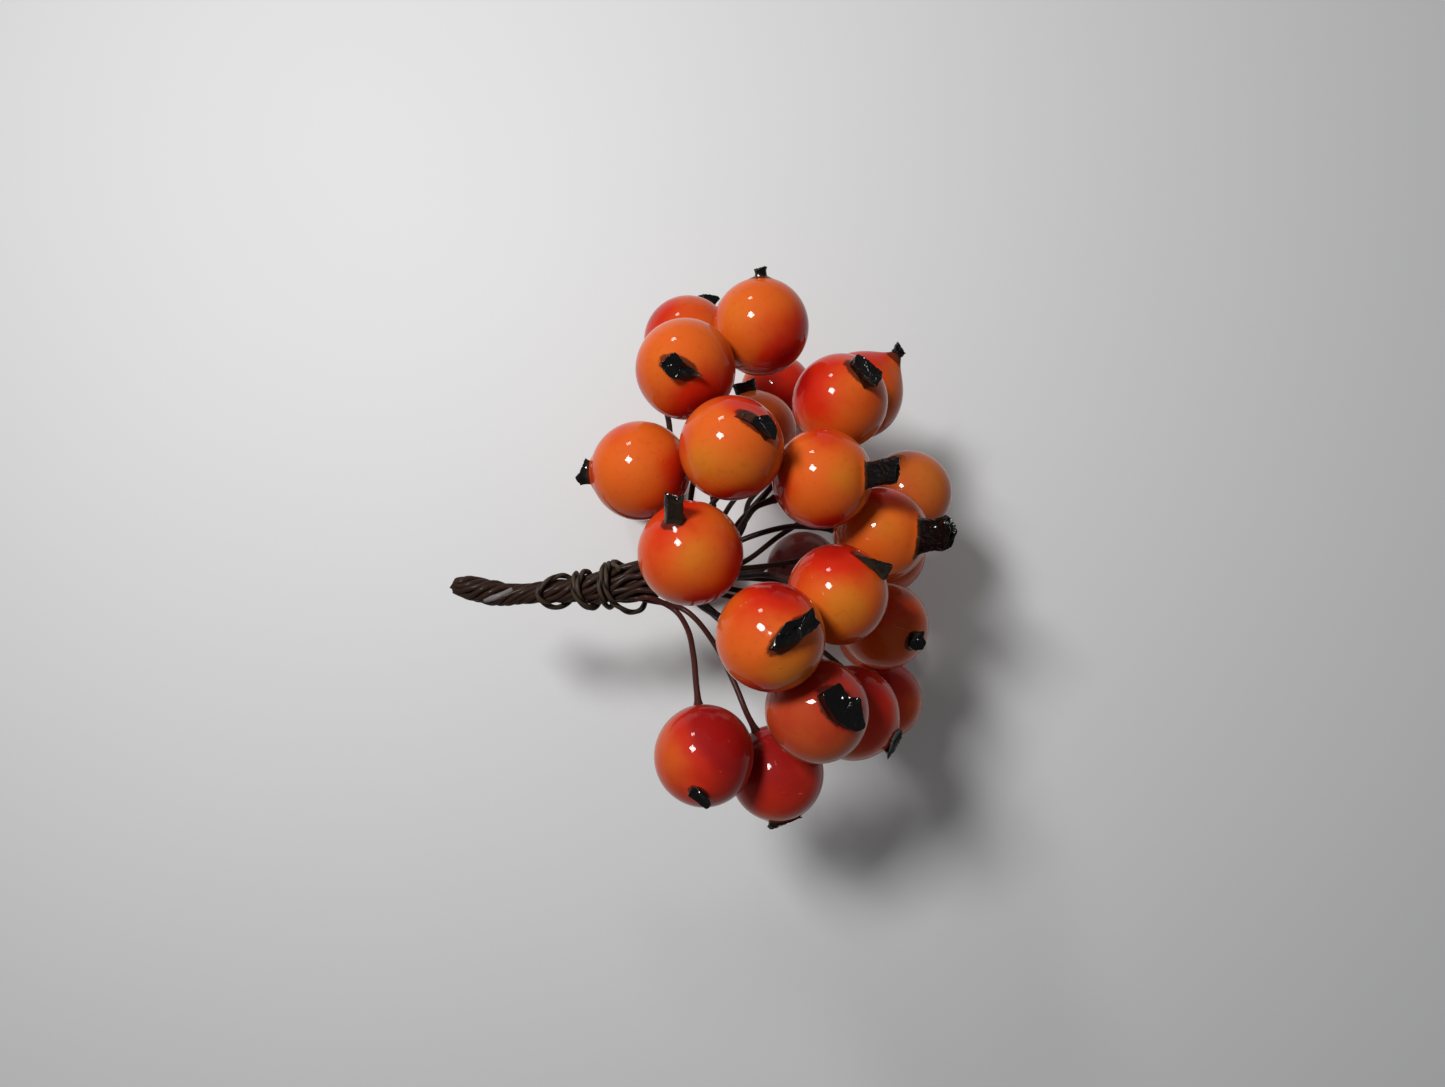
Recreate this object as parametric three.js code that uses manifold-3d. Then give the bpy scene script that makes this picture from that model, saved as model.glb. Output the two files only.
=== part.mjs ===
// Artificial rowan berry sprig, lying on a table.
// Twenty-six lacquered balls sit on covered wire stems. The stems are twisted
// together into a short handle, which a thin wire binds. A black crepe tuft
// stands in the tip of each ball.
// Millimetres, +Z up. The handle runs along X and the bunch spreads towards +X.

import * as THREE from "three";
import { mergeVertices } from "three/addons/utils/BufferGeometryUtils.js";
import Module from "manifold-3d";

const wasm = await Module();
wasm.setup();

// Driving dimensions
const BERRY_RADIUS = 6;
const STEM_RADIUS = 0.36;
const STEM_HOLE_RADIUS = 0.6;
const STEM_HOLE_DEPTH = 2.4;
const STEM_IN_HOLE = 1.8;
const TUFT_ROOT_RADIUS = 0.33;
const TUFT_ROOT_DEPTH = 0.8;
const TUFT_SEAT_RADIUS = 0.68;
const TUFT_SEAT_DEPTH = 1.15;
const TUFT_NECK_HEIGHT = 0.12;
const TUFT_SIDES = 8;
const TUFT_DENT = 0.25;
const WIRE_RADIUS = 0.34;
const WIRE_GAP = 0.15;
const REST_HEIGHT = 5.8;

// A tuft from its neck to its rim: shares of the way to the rim's middle and height,
// and of the rim's spread
const TUFT_OPENING = [
  { rise: 0.13, spread: 0.6 },
  { rise: 0.5, spread: 0.88 },
  { rise: 1, spread: 1 },
];

// Colours of the sub-parts
const finish = (color, roughness) => new THREE.MeshStandardMaterial({ color, roughness, metalness: 0 });
const BERRY_FINISH = finish(0xd8501a, 0.12);
const TUFT_FINISH = finish(0x14100e, 0.35);
const STEM_FINISH = finish(0x3b2420, 0.45);
const WIRE_FINISH = finish(0x5a4c3c, 0.5);

// Handle: middle line and radius of the twisted rope, from its folded end to its mouth
const HANDLE = [
  { x: -36.4, y: -5.7, z: 33.5, r: 0.6 },
  { x: -35.6, y: -5.75, z: 33.5, r: 1.2 },
  { x: -34.6, y: -5.9, z: 33.5, r: 1.6 },
  { x: -32.5, y: -6.35, z: 33.5, r: 1.85 },
  { x: -30.2, y: -6.75, z: 33.6, r: 1.75 },
  { x: -27.9, y: -6.85, z: 33.6, r: 1.5 },
  { x: -25.5, y: -6.65, z: 33.6, r: 1.5 },
  { x: -22.5, y: -6.5, z: 33.7, r: 1.65 },
  { x: -19.8, y: -6.25, z: 33.7, r: 1.75 },
  { x: -17.2, y: -6, z: 33.8, r: 2.2 },
  { x: -14.5, y: -5.5, z: 33.8, r: 2.6 },
  { x: -12.4, y: -5.2, z: 33.8, r: 2.95 },
  { x: -10, y: -5, z: 33.8, r: 3.3 },
];
const HANDLE_STRANDS = 10;
const STRAND_RELIEF = 0.16;
const HANDLE_STEPS = 26;
// Twist of the handle in radians a millimetre: even where it is thin, and dying out to the mouth
const TWIST = [
  { x: -37, rate: 0.47 },
  { x: -25, rate: 0.45 },
  { x: -20, rate: 0.37 },
  { x: -16, rate: 0.24 },
  { x: -12, rate: 0.12 },
  { x: -10, rate: 0.06 },
];
const MOUTH_X = -10;
const MOUTH_RINGS = [{ reach: 0.55, stems: 3 }, { reach: 1.6, stems: 9 }, { reach: 2.65, stems: 14 }];

// Stems: where they start inside the handle, drawn in a little there, how far before
// the berry they are in line with its hole, and the sides and steps of their tubes
const STEM_START_X = -11;
const STEM_START_DRAW = 0.9;
const STEM_LINE_UP = [2.6, 0.8];
const STEM_SIDES = 5;
const STEM_STEP = 3;

// Each berry: its centre, the direction of its tip and, where the stem doesn't
// enter opposite the tip, the direction of that hole. lie is the angle of the
// tuft's width about Z in degrees. rim holds the eight corners of its upper end,
// anticlockwise, as across, through and up from the tip; a tuft that hides has a
// plain size, wide x thick x tall, instead. The route is the stem's way from the
// handle.
const BERRIES = [
  {
    name: "01", at: [4.8, 27, 42.1], tip: [-0.01, 0.93, 0.37], entry: [-0.45, -0.5, -0.74], lie: 0,
    rim: [
      [0.7, 0, 1.2], [0.5, 0.6, 1.2], [-0.1, 0.7, 1.1], [-0.7, 0.5, 0.9],
      [-0.9, 0, 0.9], [-0.6, -0.5, 0.9], [0, -0.6, 1.1], [0.5, -0.5, 1.2],
    ],
    route: [[-3, -2.6, 34.6], [-1.2, 3, 36], [-1.6, 10, 36.4], [-1, 17, 35.6]],
  },
  {
    name: "02", at: [-4.6, 27.3, 33.5], tip: [0.38, 0.88, -0.28], lie: -20,
    rim: [
      [1.4, 0, 1.8], [0.9, 0.5, 1.8], [0.1, 0.5, 1.6], [-0.9, 0.4, 1.2],
      [-1.6, 0, 0.9], [-0.9, -0.4, 1.2], [0.1, -0.4, 1.6], [0.9, -0.4, 1.8],
    ],
    route: [[-6.6, 0.5, 34.5], [-6.8, 8.5, 35], [-7.1, 15.9, 35]],
  },
  {
    name: "03", at: [-4.4, 20.8, 46.8], tip: [-0.14, -0.15, 0.98], entry: [0.2, -0.5, -0.84], lie: -25,
    rim: [
      [3.3, 0.3, 0.5], [2.3, 1, 0.7], [0.2, 1.1, 1.3], [-0.5, 1.4, 1.5],
      [-1.5, -0.4, 1.4], [-0.6, -1, 1.4], [0.1, -1.4, 1.3], [2, -0.5, 0.7],
    ],
    route: [[-5.2, -0.5, 35.5], [-4.2, 5.7, 36.8], [-3.4, 11, 37.2]],
  },
  {
    name: "04", at: [9, 25.5, REST_HEIGHT], tip: [-0.29, 0.8, -0.52], lie: 0,
    size: [2.8, 1.5, 1.6],
    route: [[-1, -2.6, 31.8], [2.8, 2, 29.5], [3.8, 6, 26], [9.6, 12, 17.5]],
  },
  {
    name: "05", at: [14.7, 17.8, 41.4], tip: [0.3, 0.48, 0.83], lie: -53,
    rim: [
      [2.7, 0, 1.4], [2.1, 1, 1.4], [1, 0.9, 1.4], [-0.7, 0.7, 1.4],
      [-1.6, 0.4, 1.2], [-0.8, -0.9, 1], [1.3, -1.3, 1.1], [3, -1.5, 1.2],
    ],
    route: [[-1.5, -2, 33.6], [2.5, 3.2, 34], [4.4, 4.9, 35.5], [6.9, 8, 36]],
  },
  {
    name: "06", at: [18.8, 20.4, 30.3], tip: [0.67, 0.69, 0.28], lie: -56,
    rim: [
      [0.6, 0, 2.5], [0.4, 0.5, 2.5], [-0.3, 0.6, 2.7], [-1.1, 0.5, 2.8],
      [-1.4, 0, 2.8], [-1.1, -0.5, 2.7], [-0.3, -0.6, 2.6], [0.5, -0.5, 2.4],
    ],
    route: [[-1.5, -2.2, 32], [2.6, 3.3, 30], [5.5, 6.5, 29.5]],
  },
  {
    name: "07", at: [1, 10.8, 52.1], tip: [0.4, 0.38, 0.84], entry: [-0.15, -0.55, -0.82], lie: -30,
    rim: [
      [2.3, 0.3, 1.1], [1.3, 1, 1.1], [0.7, 1, 1], [-0.1, 0.1, 0.8],
      [-1.2, 0.2, 0.8], [-1.5, -1.1, 0.7], [0.3, -0.8, 0.6], [2.8, -1.1, 1],
    ],
    route: [[-4, -2, 36.5], [-1.5, 4.6, 41.5]],
  },
  {
    name: "08", at: [5.3, 17.2, 18.3], tip: [-0.28, 0.93, 0.2], entry: [-0.1, -0.95, 0.3], lie: 0,
    size: [3.8, 1.6, 1.8],
    route: [[-2, -1.8, 32.6], [0.2, 3.8, 31], [2, 6.6, 27]],
  },
  {
    name: "09", at: [-9.8, 8.7, 46.3], tip: [-0.99, -0.03, 0.1], entry: [0.5, -0.55, -0.67], lie: 100,
    rim: [
      [1.7, 0, 0.5], [1.1, 0.4, 0.8], [0.2, 0.4, 1.1], [-0.6, 0.3, 1.8],
      [-1.6, 0, 1.1], [-0.8, -0.4, 1.7], [0.2, -0.4, 1.1], [1.1, -0.4, 0.8],
    ],
    route: [[-6.8, -1.5, 37]],
  },
  {
    name: "10", at: [-3.6, -1.1, 52.4], tip: [-0.31, 0.55, 0.78], entry: [0.27, -0.62, -0.73], lie: 5,
    rim: [
      [2.9, 0.4, 2.9], [2.2, 1.1, 3.1], [0.9, 1.9, 3.3], [0.4, 1.6, 2.9],
      [0.3, 1, 2.6], [0.9, 0.6, 2.7], [1.6, 0.2, 2.8], [2.6, -0.1, 2.3],
    ],
    route: [[-6, -5.6, 38], [-2.6, -6.3, 43]],
  },
  {
    name: "11", at: [11.8, 7.7, 47.6], tip: [0.78, 0, 0.62], entry: [-0.9, -0.38, -0.2], lie: 90,
    rim: [
      [1.9, 0, 3.3], [1.5, 0.5, 4], [0.5, 0.5, 3.8], [-0.7, 0.4, 3.6],
      [-1.1, 0, 3.5], [-0.6, -0.4, 3.5], [0.5, -0.5, 3.7], [1.6, -0.5, 3.2],
    ],
    route: [[-3, -3.2, 35.2], [1, 0.3, 39], [2.8, 2.8, 42.5]],
  },
  {
    name: "12", at: [25.6, 6.9, 30.5], tip: [0.5, 0.35, -0.79], entry: [-0.96, -0.28, 0.05], lie: -40,
    size: [3, 1.6, 2],
    route: [[-2, -4.2, 33], [3.1, -2.4, 32.6], [8, 1.2, 32.2], [13.5, 4.2, 31.6]],
  },
  {
    name: "13", at: [19.5, 1.4, 40.5], tip: [0.68, -0.06, 0.73], entry: [-0.95, 0.1, -0.3], lie: 85,
    rim: [
      [2.7, 0, 3.3], [2.3, 0.6, 3.9], [1, 0.7, 4.6], [-0.8, 0.6, 4.2],
      [-1.7, 0, 3.1], [-1, -0.6, 4], [0.9, -0.7, 4.5], [2.2, -0.6, 3.8],
    ],
    route: [[-2, -2, 34.2], [2.9, 0.6, 34.4], [8.6, 2.2, 36]],
  },
  {
    name: "14", at: [13.2, -4, 8.6], tip: [0.6, -0.1, -0.79], lie: 0,
    size: [2.8, 1.5, 1.6],
    route: [[0, -4.4, 32.4], [4.5, -4.1, 27]],
  },
  {
    name: "15", at: [13.5, -6, 48.1], tip: [0.55, 0.61, 0.57], entry: [-0.88, 0.25, -0.4], lie: -30,
    rim: [
      [2, 0.6, 1.4], [0.1, 0.2, 0.8], [-1.3, -0.3, 0.4], [-2.2, -0.6, 0],
      [-0.5, -1.1, 0.2], [0.7, -1, 0.2], [2.2, -1, 0], [2.1, -0.5, 1.1],
    ],
    route: [[-1, -4.4, 35.8], [2.2, -4.2, 40]],
  },
  {
    name: "16", at: [24.8, -1.6, 18.3], tip: [0.75, -0.1, -0.65], lie: 90,
    size: [2.8, 1.5, 1.6],
    route: [[3.5, -3.3, 33], [9.5, -2.6, 30.5], [14.5, -1.4, 27]],
  },
  {
    name: "17", at: [22, -11.1, 32.3], tip: [0.47, -0.28, 0.83], entry: [-0.85, 0.48, -0.2], lie: 60,
    rim: [
      [1.3, 0.2, 1.3], [1.9, 0.6, 1.3], [1.3, 1.7, 1.3], [0, 1.3, 0.8],
      [-0.7, 0.8, 0.8], [-0.9, -0.1, 1], [-0.2, -0.9, 1.3], [0.7, -0.8, 1.3],
    ],
    route: [[3.5, -4.6, 34.6], [9.5, -5.6, 32.4]],
  },
  {
    name: "18", at: [5.2, -10.1, 56.4], tip: [0.38, 0.19, 0.91], entry: [-0.5, 0.1, -0.86], lie: 39,
    rim: [
      [2, -0.1, 1.6], [2.4, 1, 1.6], [0.7, 1, 1.4], [-1.1, 1.7, 1.4],
      [-3.7, 0.7, 0.8], [-1.4, -0.4, 1.2], [0.6, -0.8, 1.4], [2, -0.8, 1.6],
    ],
    route: [[-5.4, -6.5, 36], [-2.2, -8.2, 41.5]],
  },
  {
    name: "19", at: [10.8, -19.2, 50.6], tip: [0.35, 0.22, 0.91], entry: [-0.6, 0.35, -0.72], lie: -46,
    rim: [
      [2.9, 0.1, 1.4], [1.6, 0.9, 1.5], [0.4, 1.9, 1.5], [-0.5, 1.1, 1.2],
      [-2.4, 1.2, 1.4], [-3, -1, 1.3], [-0.2, -2, 1.4], [2.4, -1.2, 1.4],
    ],
    route: [[-4.4, -7.2, 35.6], [-0.8, -9.6, 37.5], [3, -13, 41]],
  },
  {
    name: "20", at: [16.4, -21.5, 40.1], tip: [0.86, -0.43, 0.27], entry: [-0.8, 0.57, -0.2], lie: 80,
    rim: [
      [1.2, 0.2, 0.4], [0.7, 1.6, -0.1], [-0.4, 1.8, -0.1], [-1.4, 1.3, 0.1],
      [-3, 0.6, 0.5], [-1.6, -0.2, 0.9], [-0.3, -0.3, 0.9], [0.8, -0.2, 0.7],
    ],
    route: [[-4, -7, 34], [-0.8, -9.4, 34.5], [5, -13.4, 36.2]],
  },
  {
    name: "21", at: [23.8, -23.3, 20.7], tip: [0.6, -0.5, -0.62], lie: -30,
    size: [2.8, 1.5, 1.8],
    route: [[-2, -6.6, 33.4], [4, -8.2, 32.4], [12, -13.5, 29.5]],
  },
  {
    name: "22", at: [-2.2, -25.2, 47.1], tip: [-0.09, -0.5, 0.86], entry: [-0.12, 0.9, -0.42], lie: -38,
    rim: [
      [1.7, 0.1, 1], [1.2, 0.7, 1], [0.3, 1, 0.9], [-0.4, 1.2, 0.7],
      [-1.1, 0.5, 0.7], [-1, -0.4, 0.7], [-0.1, -0.5, 0.8], [1.6, -0.6, 1],
    ],
    route: [[-6.5, -8.8, 34.5], [-4.7, -11, 36.5], [-3.7, -14, 40.6]],
  },
  {
    name: "23", at: [6.9, -29.1, 40.1], tip: [0.04, -0.99, 0.15], entry: [-0.44, 0.88, 0.1], lie: 15,
    rim: [
      [3, 0.5, -0.5], [1.1, 1, 0.1], [-0.2, 0.9, 0.4], [-1.2, 0.6, 0.7],
      [-1.5, 0, 0.6], [-1.2, -0.4, 1], [-0.2, -0.4, 0.8], [1.1, -0.2, 0.3],
    ],
    route: [[-6, -8.5, 33.8], [-4, -9.7, 34.4], [-1, -13.2, 37], [1.5, -17.8, 39.5]],
  },
  {
    name: "24", at: [25.2, -15.3, REST_HEIGHT], tip: [0.72, -0.5, -0.48], entry: [-0.6, 0.4, 0.69], lie: 55,
    size: [2.8, 1.5, 1.6],
    route: [[-1, -5.8, 33.6], [3.5, -6.6, 32.6], [9, -7.4, 28.5], [15.5, -9.6, 19.5]],
  },
  {
    name: "25", at: [-13.8, 11.4, REST_HEIGHT], tip: [-0.6, 0.65, -0.47], entry: [0.45, -0.6, 0.66], lie: 43,
    size: [2.8, 1.5, 1.6],
    route: [[-7.2, -1.8, 29.6], [-7.8, 2.7, 22]],
  },
  {
    name: "26", at: [-4.6, -2.7, REST_HEIGHT], tip: [-0.45, -0.75, -0.48], entry: [0.1, 0.2, 0.97], lie: -31,
    size: [2.8, 1.5, 1.6],
    route: [[-6.4, -4.6, 29.6], [-4.7, -3, 22]],
  },
];

// Binding wire: its x at each quarter turn round the handle, a turn to a line, from
// the back by way of the top (+Y), the front (+Z) and the bottom; then its loose end
const WIRE_QUARTERS_X = [
  -19.4, -21.8, -24.4, -22.2,
  -19.9, -19.7, -19.6, -17.9,
  -17.6, -18.5, -19.1, -17.4,
  -16.2, -15.8, -16.1, -15.1,
  -14.7, -15.2, -15.3,
];
const WIRE_STEPS_A_QUARTER = 3;
const WIRE_SIDES = 5;
const WIRE_LOOSE_END = [
  [-14.6, -7.6, 35.9],
  [-13.6, -8.5, 35.2],
  [-12.4, -9.2, 34],
  [-11, -8.9, 32.4],
  [-10.6, -7, 30.3],
  [-11, -4.5, 29.8],
  [-12.8, -3.5, 30.2],
  [-14.2, -2.3, 31.4],
  [-14.3, -1.9, 33.6],
  [-13.8, -2.6, 35.9],
  [-12.9, -3.8, 37.2],
];

// Points nearer than this are one corner of a solid
const WELD = 1e-4;

const vector = (list) => new THREE.Vector3(...list);

// Turns a closed geometry into a manifold solid
function toSolid(geometry) {
  const bare = geometry.clone();
  bare.deleteAttribute("normal");
  bare.deleteAttribute("uv");
  const merged = mergeVertices(bare, WELD);
  const vertProperties = new Float32Array(merged.attributes.position.array);
  const triVerts = new Uint32Array(merged.index.array);
  return new wasm.Manifold(new wasm.Mesh({ numProp: 3, vertProperties, triVerts }));
}

// Turns a manifold solid back into a geometry
function toGeometry(solid) {
  const mesh = solid.getMesh();
  const geometry = new THREE.BufferGeometry();
  geometry.setAttribute("position", new THREE.BufferAttribute(new Float32Array(mesh.vertProperties), 3));
  geometry.setIndex(new THREE.BufferAttribute(new Uint32Array(mesh.triVerts), 1));
  geometry.computeVertexNormals();
  return geometry;
}

// A named piece of the sprig
function piece(name, geometry, material) {
  const mesh = new THREE.Mesh(geometry, material);
  mesh.name = name;
  return mesh;
}

const tipOf = (berry) => vector(berry.tip).normalize();
const entryOf = (berry) => (berry.entry ? vector(berry.entry).normalize() : tipOf(berry).negate());
const rests = (berry) => berry.at[2] === REST_HEIGHT;

// Ball with a blind stem hole on its -Y pole
function ballGeometry(sides, rings) {
  const holeEdge = Math.asin(STEM_HOLE_RADIUS / BERRY_RADIUS);
  const profile = [
    new THREE.Vector2(0, STEM_HOLE_DEPTH - BERRY_RADIUS),
    new THREE.Vector2(STEM_HOLE_RADIUS, STEM_HOLE_DEPTH - BERRY_RADIUS),
  ];
  for (let ring = 0; ring < rings; ring += 1) {
    const angle = holeEdge + ((Math.PI - holeEdge) * ring) / rings;
    profile.push(new THREE.Vector2(Math.sin(angle), -Math.cos(angle)).multiplyScalar(BERRY_RADIUS));
  }
  profile.push(new THREE.Vector2(0, BERRY_RADIUS));
  return new THREE.LatheGeometry(profile, sides);
}

// One berry: the ball turned to its stem, less the tuft's seat, and less a small
// flat underneath where it rests on the table
function berry(spec) {
  const [sides, rings] = rests(spec) ? [16, 9] : [12, 7];
  const ball = ballGeometry(sides, rings);
  const down = new THREE.Vector3(0, -1, 0);
  ball.applyQuaternion(new THREE.Quaternion().setFromUnitVectors(down, entryOf(spec)));
  const seat = new THREE.CylinderGeometry(TUFT_SEAT_RADIUS, TUFT_SEAT_RADIUS, 2 * TUFT_SEAT_DEPTH, 6);
  seat.translate(0, BERRY_RADIUS, 0);
  seat.applyQuaternion(new THREE.Quaternion().setFromUnitVectors(new THREE.Vector3(0, 1, 0), tipOf(spec)));
  let solid = toSolid(ball).subtract(toSolid(seat));
  if (rests(spec)) {
    const table = new THREE.BoxGeometry(4 * BERRY_RADIUS, 4 * BERRY_RADIUS, BERRY_RADIUS);
    table.translate(0, 0, -REST_HEIGHT - BERRY_RADIUS / 2);
    solid = solid.subtract(toSolid(table));
  }
  const mesh = piece(`berry_${spec.name}`, toGeometry(solid), BERRY_FINISH);
  mesh.position.set(...spec.at);
  return mesh;
}

// Corners of the upper end of a tuft. Those of a plain one are on an ellipse, higher at its ends.
function tuftRim({ rim, size }) {
  if (rim) return rim.map(vector);
  const [wide, thick, tall] = size;
  return Array.from({ length: TUFT_SIDES }, (_, k) => {
    const angle = (2 * Math.PI * k) / TUFT_SIDES;
    const [x, y] = [Math.cos(angle), Math.sin(angle)];
    return new THREE.Vector3(x * wide / 2, y * thick / 2, tall * (0.87 + 0.13 * x * x));
  });
}

// One tuft: a folded strap of crepe. Its thin root opens towards the corners of its
// rim, first in width and then in height, and its end is dented.
function tuft(spec) {
  const rim = tuftRim(spec);
  const middle = rim.reduce((sum, corner) => sum.add(corner), new THREE.Vector3()).divideScalar(TUFT_SIDES);
  const stalk = (height) => (k) => {
    const angle = (2 * Math.PI * k) / TUFT_SIDES;
    return new THREE.Vector3(TUFT_ROOT_RADIUS * Math.cos(angle), TUFT_ROOT_RADIUS * Math.sin(angle), height);
  };
  const opening = ({ rise, spread }) => (k) => new THREE.Vector3(
    middle.x * rise + (rim[k].x - middle.x) * spread,
    middle.y * rise + (rim[k].y - middle.y) * spread,
    THREE.MathUtils.lerp(TUFT_NECK_HEIGHT, rim[k].z, rise),
  );
  const levels = [
    () => new THREE.Vector3(0, 0, -TUFT_ROOT_DEPTH),
    stalk(-TUFT_ROOT_DEPTH),
    stalk(TUFT_NECK_HEIGHT),
    ...TUFT_OPENING.map(opening),
    () => middle.clone().setZ(middle.z - TUFT_DENT * Math.max(middle.z, 0)),
  ];
  const last = levels.length - 1;
  const profile = levels.map((_, k) => new THREE.Vector2(k > 0 && k < last ? 1 : 0, k));
  const geometry = new THREE.LatheGeometry(profile, TUFT_SIDES);
  const position = geometry.attributes.position;
  for (let i = 0; i < position.count; i += 1) {
    const column = Math.floor(i / levels.length) % TUFT_SIDES;
    position.setXYZ(i, ...levels[i % levels.length](column));
  }
  geometry.computeVertexNormals();
  const up = tipOf(spec);
  const angle = THREE.MathUtils.degToRad(spec.lie);
  const across = new THREE.Vector3(Math.cos(angle), Math.sin(angle), 0);
  across.addScaledVector(up, -across.dot(up)).normalize();
  const through = new THREE.Vector3().crossVectors(up, across);
  const mesh = piece(`tuft_${spec.name}`, geometry, TUFT_FINISH);
  mesh.quaternion.setFromRotationMatrix(new THREE.Matrix4().makeBasis(across, through, up));
  mesh.position.copy(vector(spec.at)).addScaledVector(up, BERRY_RADIUS);
  return mesh;
}

// Middle and radius of the handle at x, smooth between the listed stations. Beyond the
// first and last they are those of that station.
const handleLine = new THREE.CatmullRomCurve3(HANDLE.map((s) => new THREE.Vector3(s.x, s.y, s.z)));
const handleRadius = new THREE.SplineCurve(HANDLE.map((s) => new THREE.Vector2(s.x, s.r)));
function handleAt(x) {
  const last = HANDLE.length - 1;
  const next = HANDLE.findIndex((s) => s.x > x);
  const k = next < 0 ? last - 1 : Math.max(next - 1, 0);
  const share = THREE.MathUtils.clamp((x - HANDLE[k].x) / (HANDLE[k + 1].x - HANDLE[k].x), 0, 1);
  const middle = handleLine.getPoint((k + share) / last);
  const radius = handleRadius.getPoint((k + share) / last).y;
  return { middle, radius };
}

// How far the handle has turned at x, in radians: its twist summed from the folded end
function twistAt(x) {
  let turn = 0;
  for (let k = 1; k < TWIST.length; k += 1) {
    const [from, to] = [TWIST[k - 1], TWIST[k]];
    const end = THREE.MathUtils.clamp(x, from.x, to.x);
    const share = (end - from.x) / (to.x - from.x);
    turn += (end - from.x) * THREE.MathUtils.lerp(from.rate, to.rate, share / 2);
  }
  return turn;
}

// Twisted handle: a cylinder whose surface is moved to lobes that wind about its middle line
function handleGeometry() {
  const geometry = new THREE.CylinderGeometry(1, 1, 1, 3 * HANDLE_STRANDS, HANDLE_STEPS);
  const first = HANDLE[0].x;
  const length = HANDLE[HANDLE.length - 1].x - first;
  const position = geometry.attributes.position;
  for (let i = 0; i < position.count; i += 1) {
    const along = position.getY(i) + 0.5;
    const x = first + length * along;
    const { middle, radius } = handleAt(x);
    const angle = -Math.atan2(position.getZ(i), position.getX(i));
    const turn = -twistAt(x);
    const onRim = Math.hypot(position.getX(i), position.getZ(i));
    const lobe = 1 - STRAND_RELIEF * (0.5 - 0.5 * Math.cos(HANDLE_STRANDS * angle));
    const reach = onRim * radius * lobe;
    const y = middle.y + reach * Math.cos(angle + turn);
    const z = middle.z + reach * Math.sin(angle + turn);
    position.setXYZ(i, x, y, z);
  }
  return geometry;
}

// Slots of the stems in the handle's mouth, in rings about its middle. The stems
// that spread least take the inner ring, and each ring is filled evenly, in the
// order of the directions that its stems set off in.
function mouthSlots() {
  const { middle } = handleAt(MOUTH_X);
  const wayOut = (spec) => vector(spec.route[0]).sub(middle);
  const spread = (spec) => Math.hypot(wayOut(spec).y, wayOut(spec).z) / wayOut(spec).x;
  const heading = (spec) => Math.atan2(wayOut(spec).z, wayOut(spec).y);
  const waiting = [...BERRIES].sort((a, b) => spread(a) - spread(b));
  const slots = new Map();
  for (const ring of MOUTH_RINGS) {
    const inRing = waiting.splice(0, ring.stems).sort((a, b) => heading(a) - heading(b));
    for (const [k, spec] of inRing.entries()) {
      const angle = 2 * Math.PI * ((k + 0.5) / ring.stems - 0.5);
      slots.set(spec, new THREE.Vector3(0, Math.cos(angle), Math.sin(angle)).multiplyScalar(ring.reach));
    }
  }
  return slots;
}

// Section of a wire, a regular polygon
function wireSection(radius, sides) {
  const corner = (k) => (2 * Math.PI * k) / sides;
  const corners = Array.from({ length: sides }, (_, k) => new THREE.Vector2(
    radius * Math.cos(corner(k)), radius * Math.sin(corner(k)),
  ));
  return new THREE.Shape(corners);
}

// Tube of one stem, from inside the handle, out of its slot in the mouth, to inside its berry
function stemGeometry(spec, slot) {
  const entry = entryOf(spec);
  const beside = (reach) => vector(spec.at).addScaledVector(entry, reach);
  const path = new THREE.CatmullRomCurve3([
    handleAt(STEM_START_X).middle.addScaledVector(slot, STEM_START_DRAW),
    handleAt(MOUTH_X).middle.add(slot),
    ...spec.route.map(vector),
    ...STEM_LINE_UP.map((reach) => beside(BERRY_RADIUS + reach)),
    beside(BERRY_RADIUS - STEM_IN_HOLE),
  ]);
  const steps = Math.ceil(path.getLength() / STEM_STEP);
  const section = wireSection(STEM_RADIUS, STEM_SIDES);
  return new THREE.ExtrudeGeometry(section, { extrudePath: path, steps });
}

// All the wire stems, twisted into one handle
function stems() {
  let solid = toSolid(handleGeometry());
  for (const [spec, slot] of mouthSlots()) {
    solid = solid.add(toSolid(stemGeometry(spec, slot)));
  }
  return piece("stems", toGeometry(solid), STEM_FINISH);
}

// Binding wire: turns round the handle, and a loose last turn that ends in a curl
function bindingWire() {
  const quarters = WIRE_QUARTERS_X.length - 1;
  const way = new THREE.SplineCurve(WIRE_QUARTERS_X.map((x, k) => new THREE.Vector2(x, k)));
  const points = [];
  for (let step = 0; step <= quarters * WIRE_STEPS_A_QUARTER; step += 1) {
    const { x, y: quarter } = way.getPoint(step / (quarters * WIRE_STEPS_A_QUARTER));
    const { middle, radius } = handleAt(x);
    const reach = radius + WIRE_RADIUS + WIRE_GAP;
    const angle = (Math.PI / 2) * (quarter - 1);
    points.push(middle.add(new THREE.Vector3(0, reach * Math.cos(angle), reach * Math.sin(angle))));
  }
  const path = new THREE.CatmullRomCurve3([...points, ...WIRE_LOOSE_END.map(vector)]);
  const steps = points.length + 2 * WIRE_LOOSE_END.length;
  const section = wireSection(WIRE_RADIUS, WIRE_SIDES);
  const geometry = new THREE.ExtrudeGeometry(section, { extrudePath: path, steps });
  return piece("binding_wire", geometry, WIRE_FINISH);
}

// The sprig, with its origin on the table under the middle of its box
function sprig() {
  const bunch = new THREE.Group();
  bunch.add(stems(), bindingWire());
  for (const spec of BERRIES) {
    bunch.add(berry(spec), tuft(spec));
  }
  const group = new THREE.Group();
  group.add(bunch);
  group.updateMatrixWorld(true);
  const middle = new THREE.Box3().setFromObject(bunch, true).getCenter(new THREE.Vector3());
  bunch.position.set(-middle.x, -middle.y, 0);
  return group;
}

export default sprig();
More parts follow.
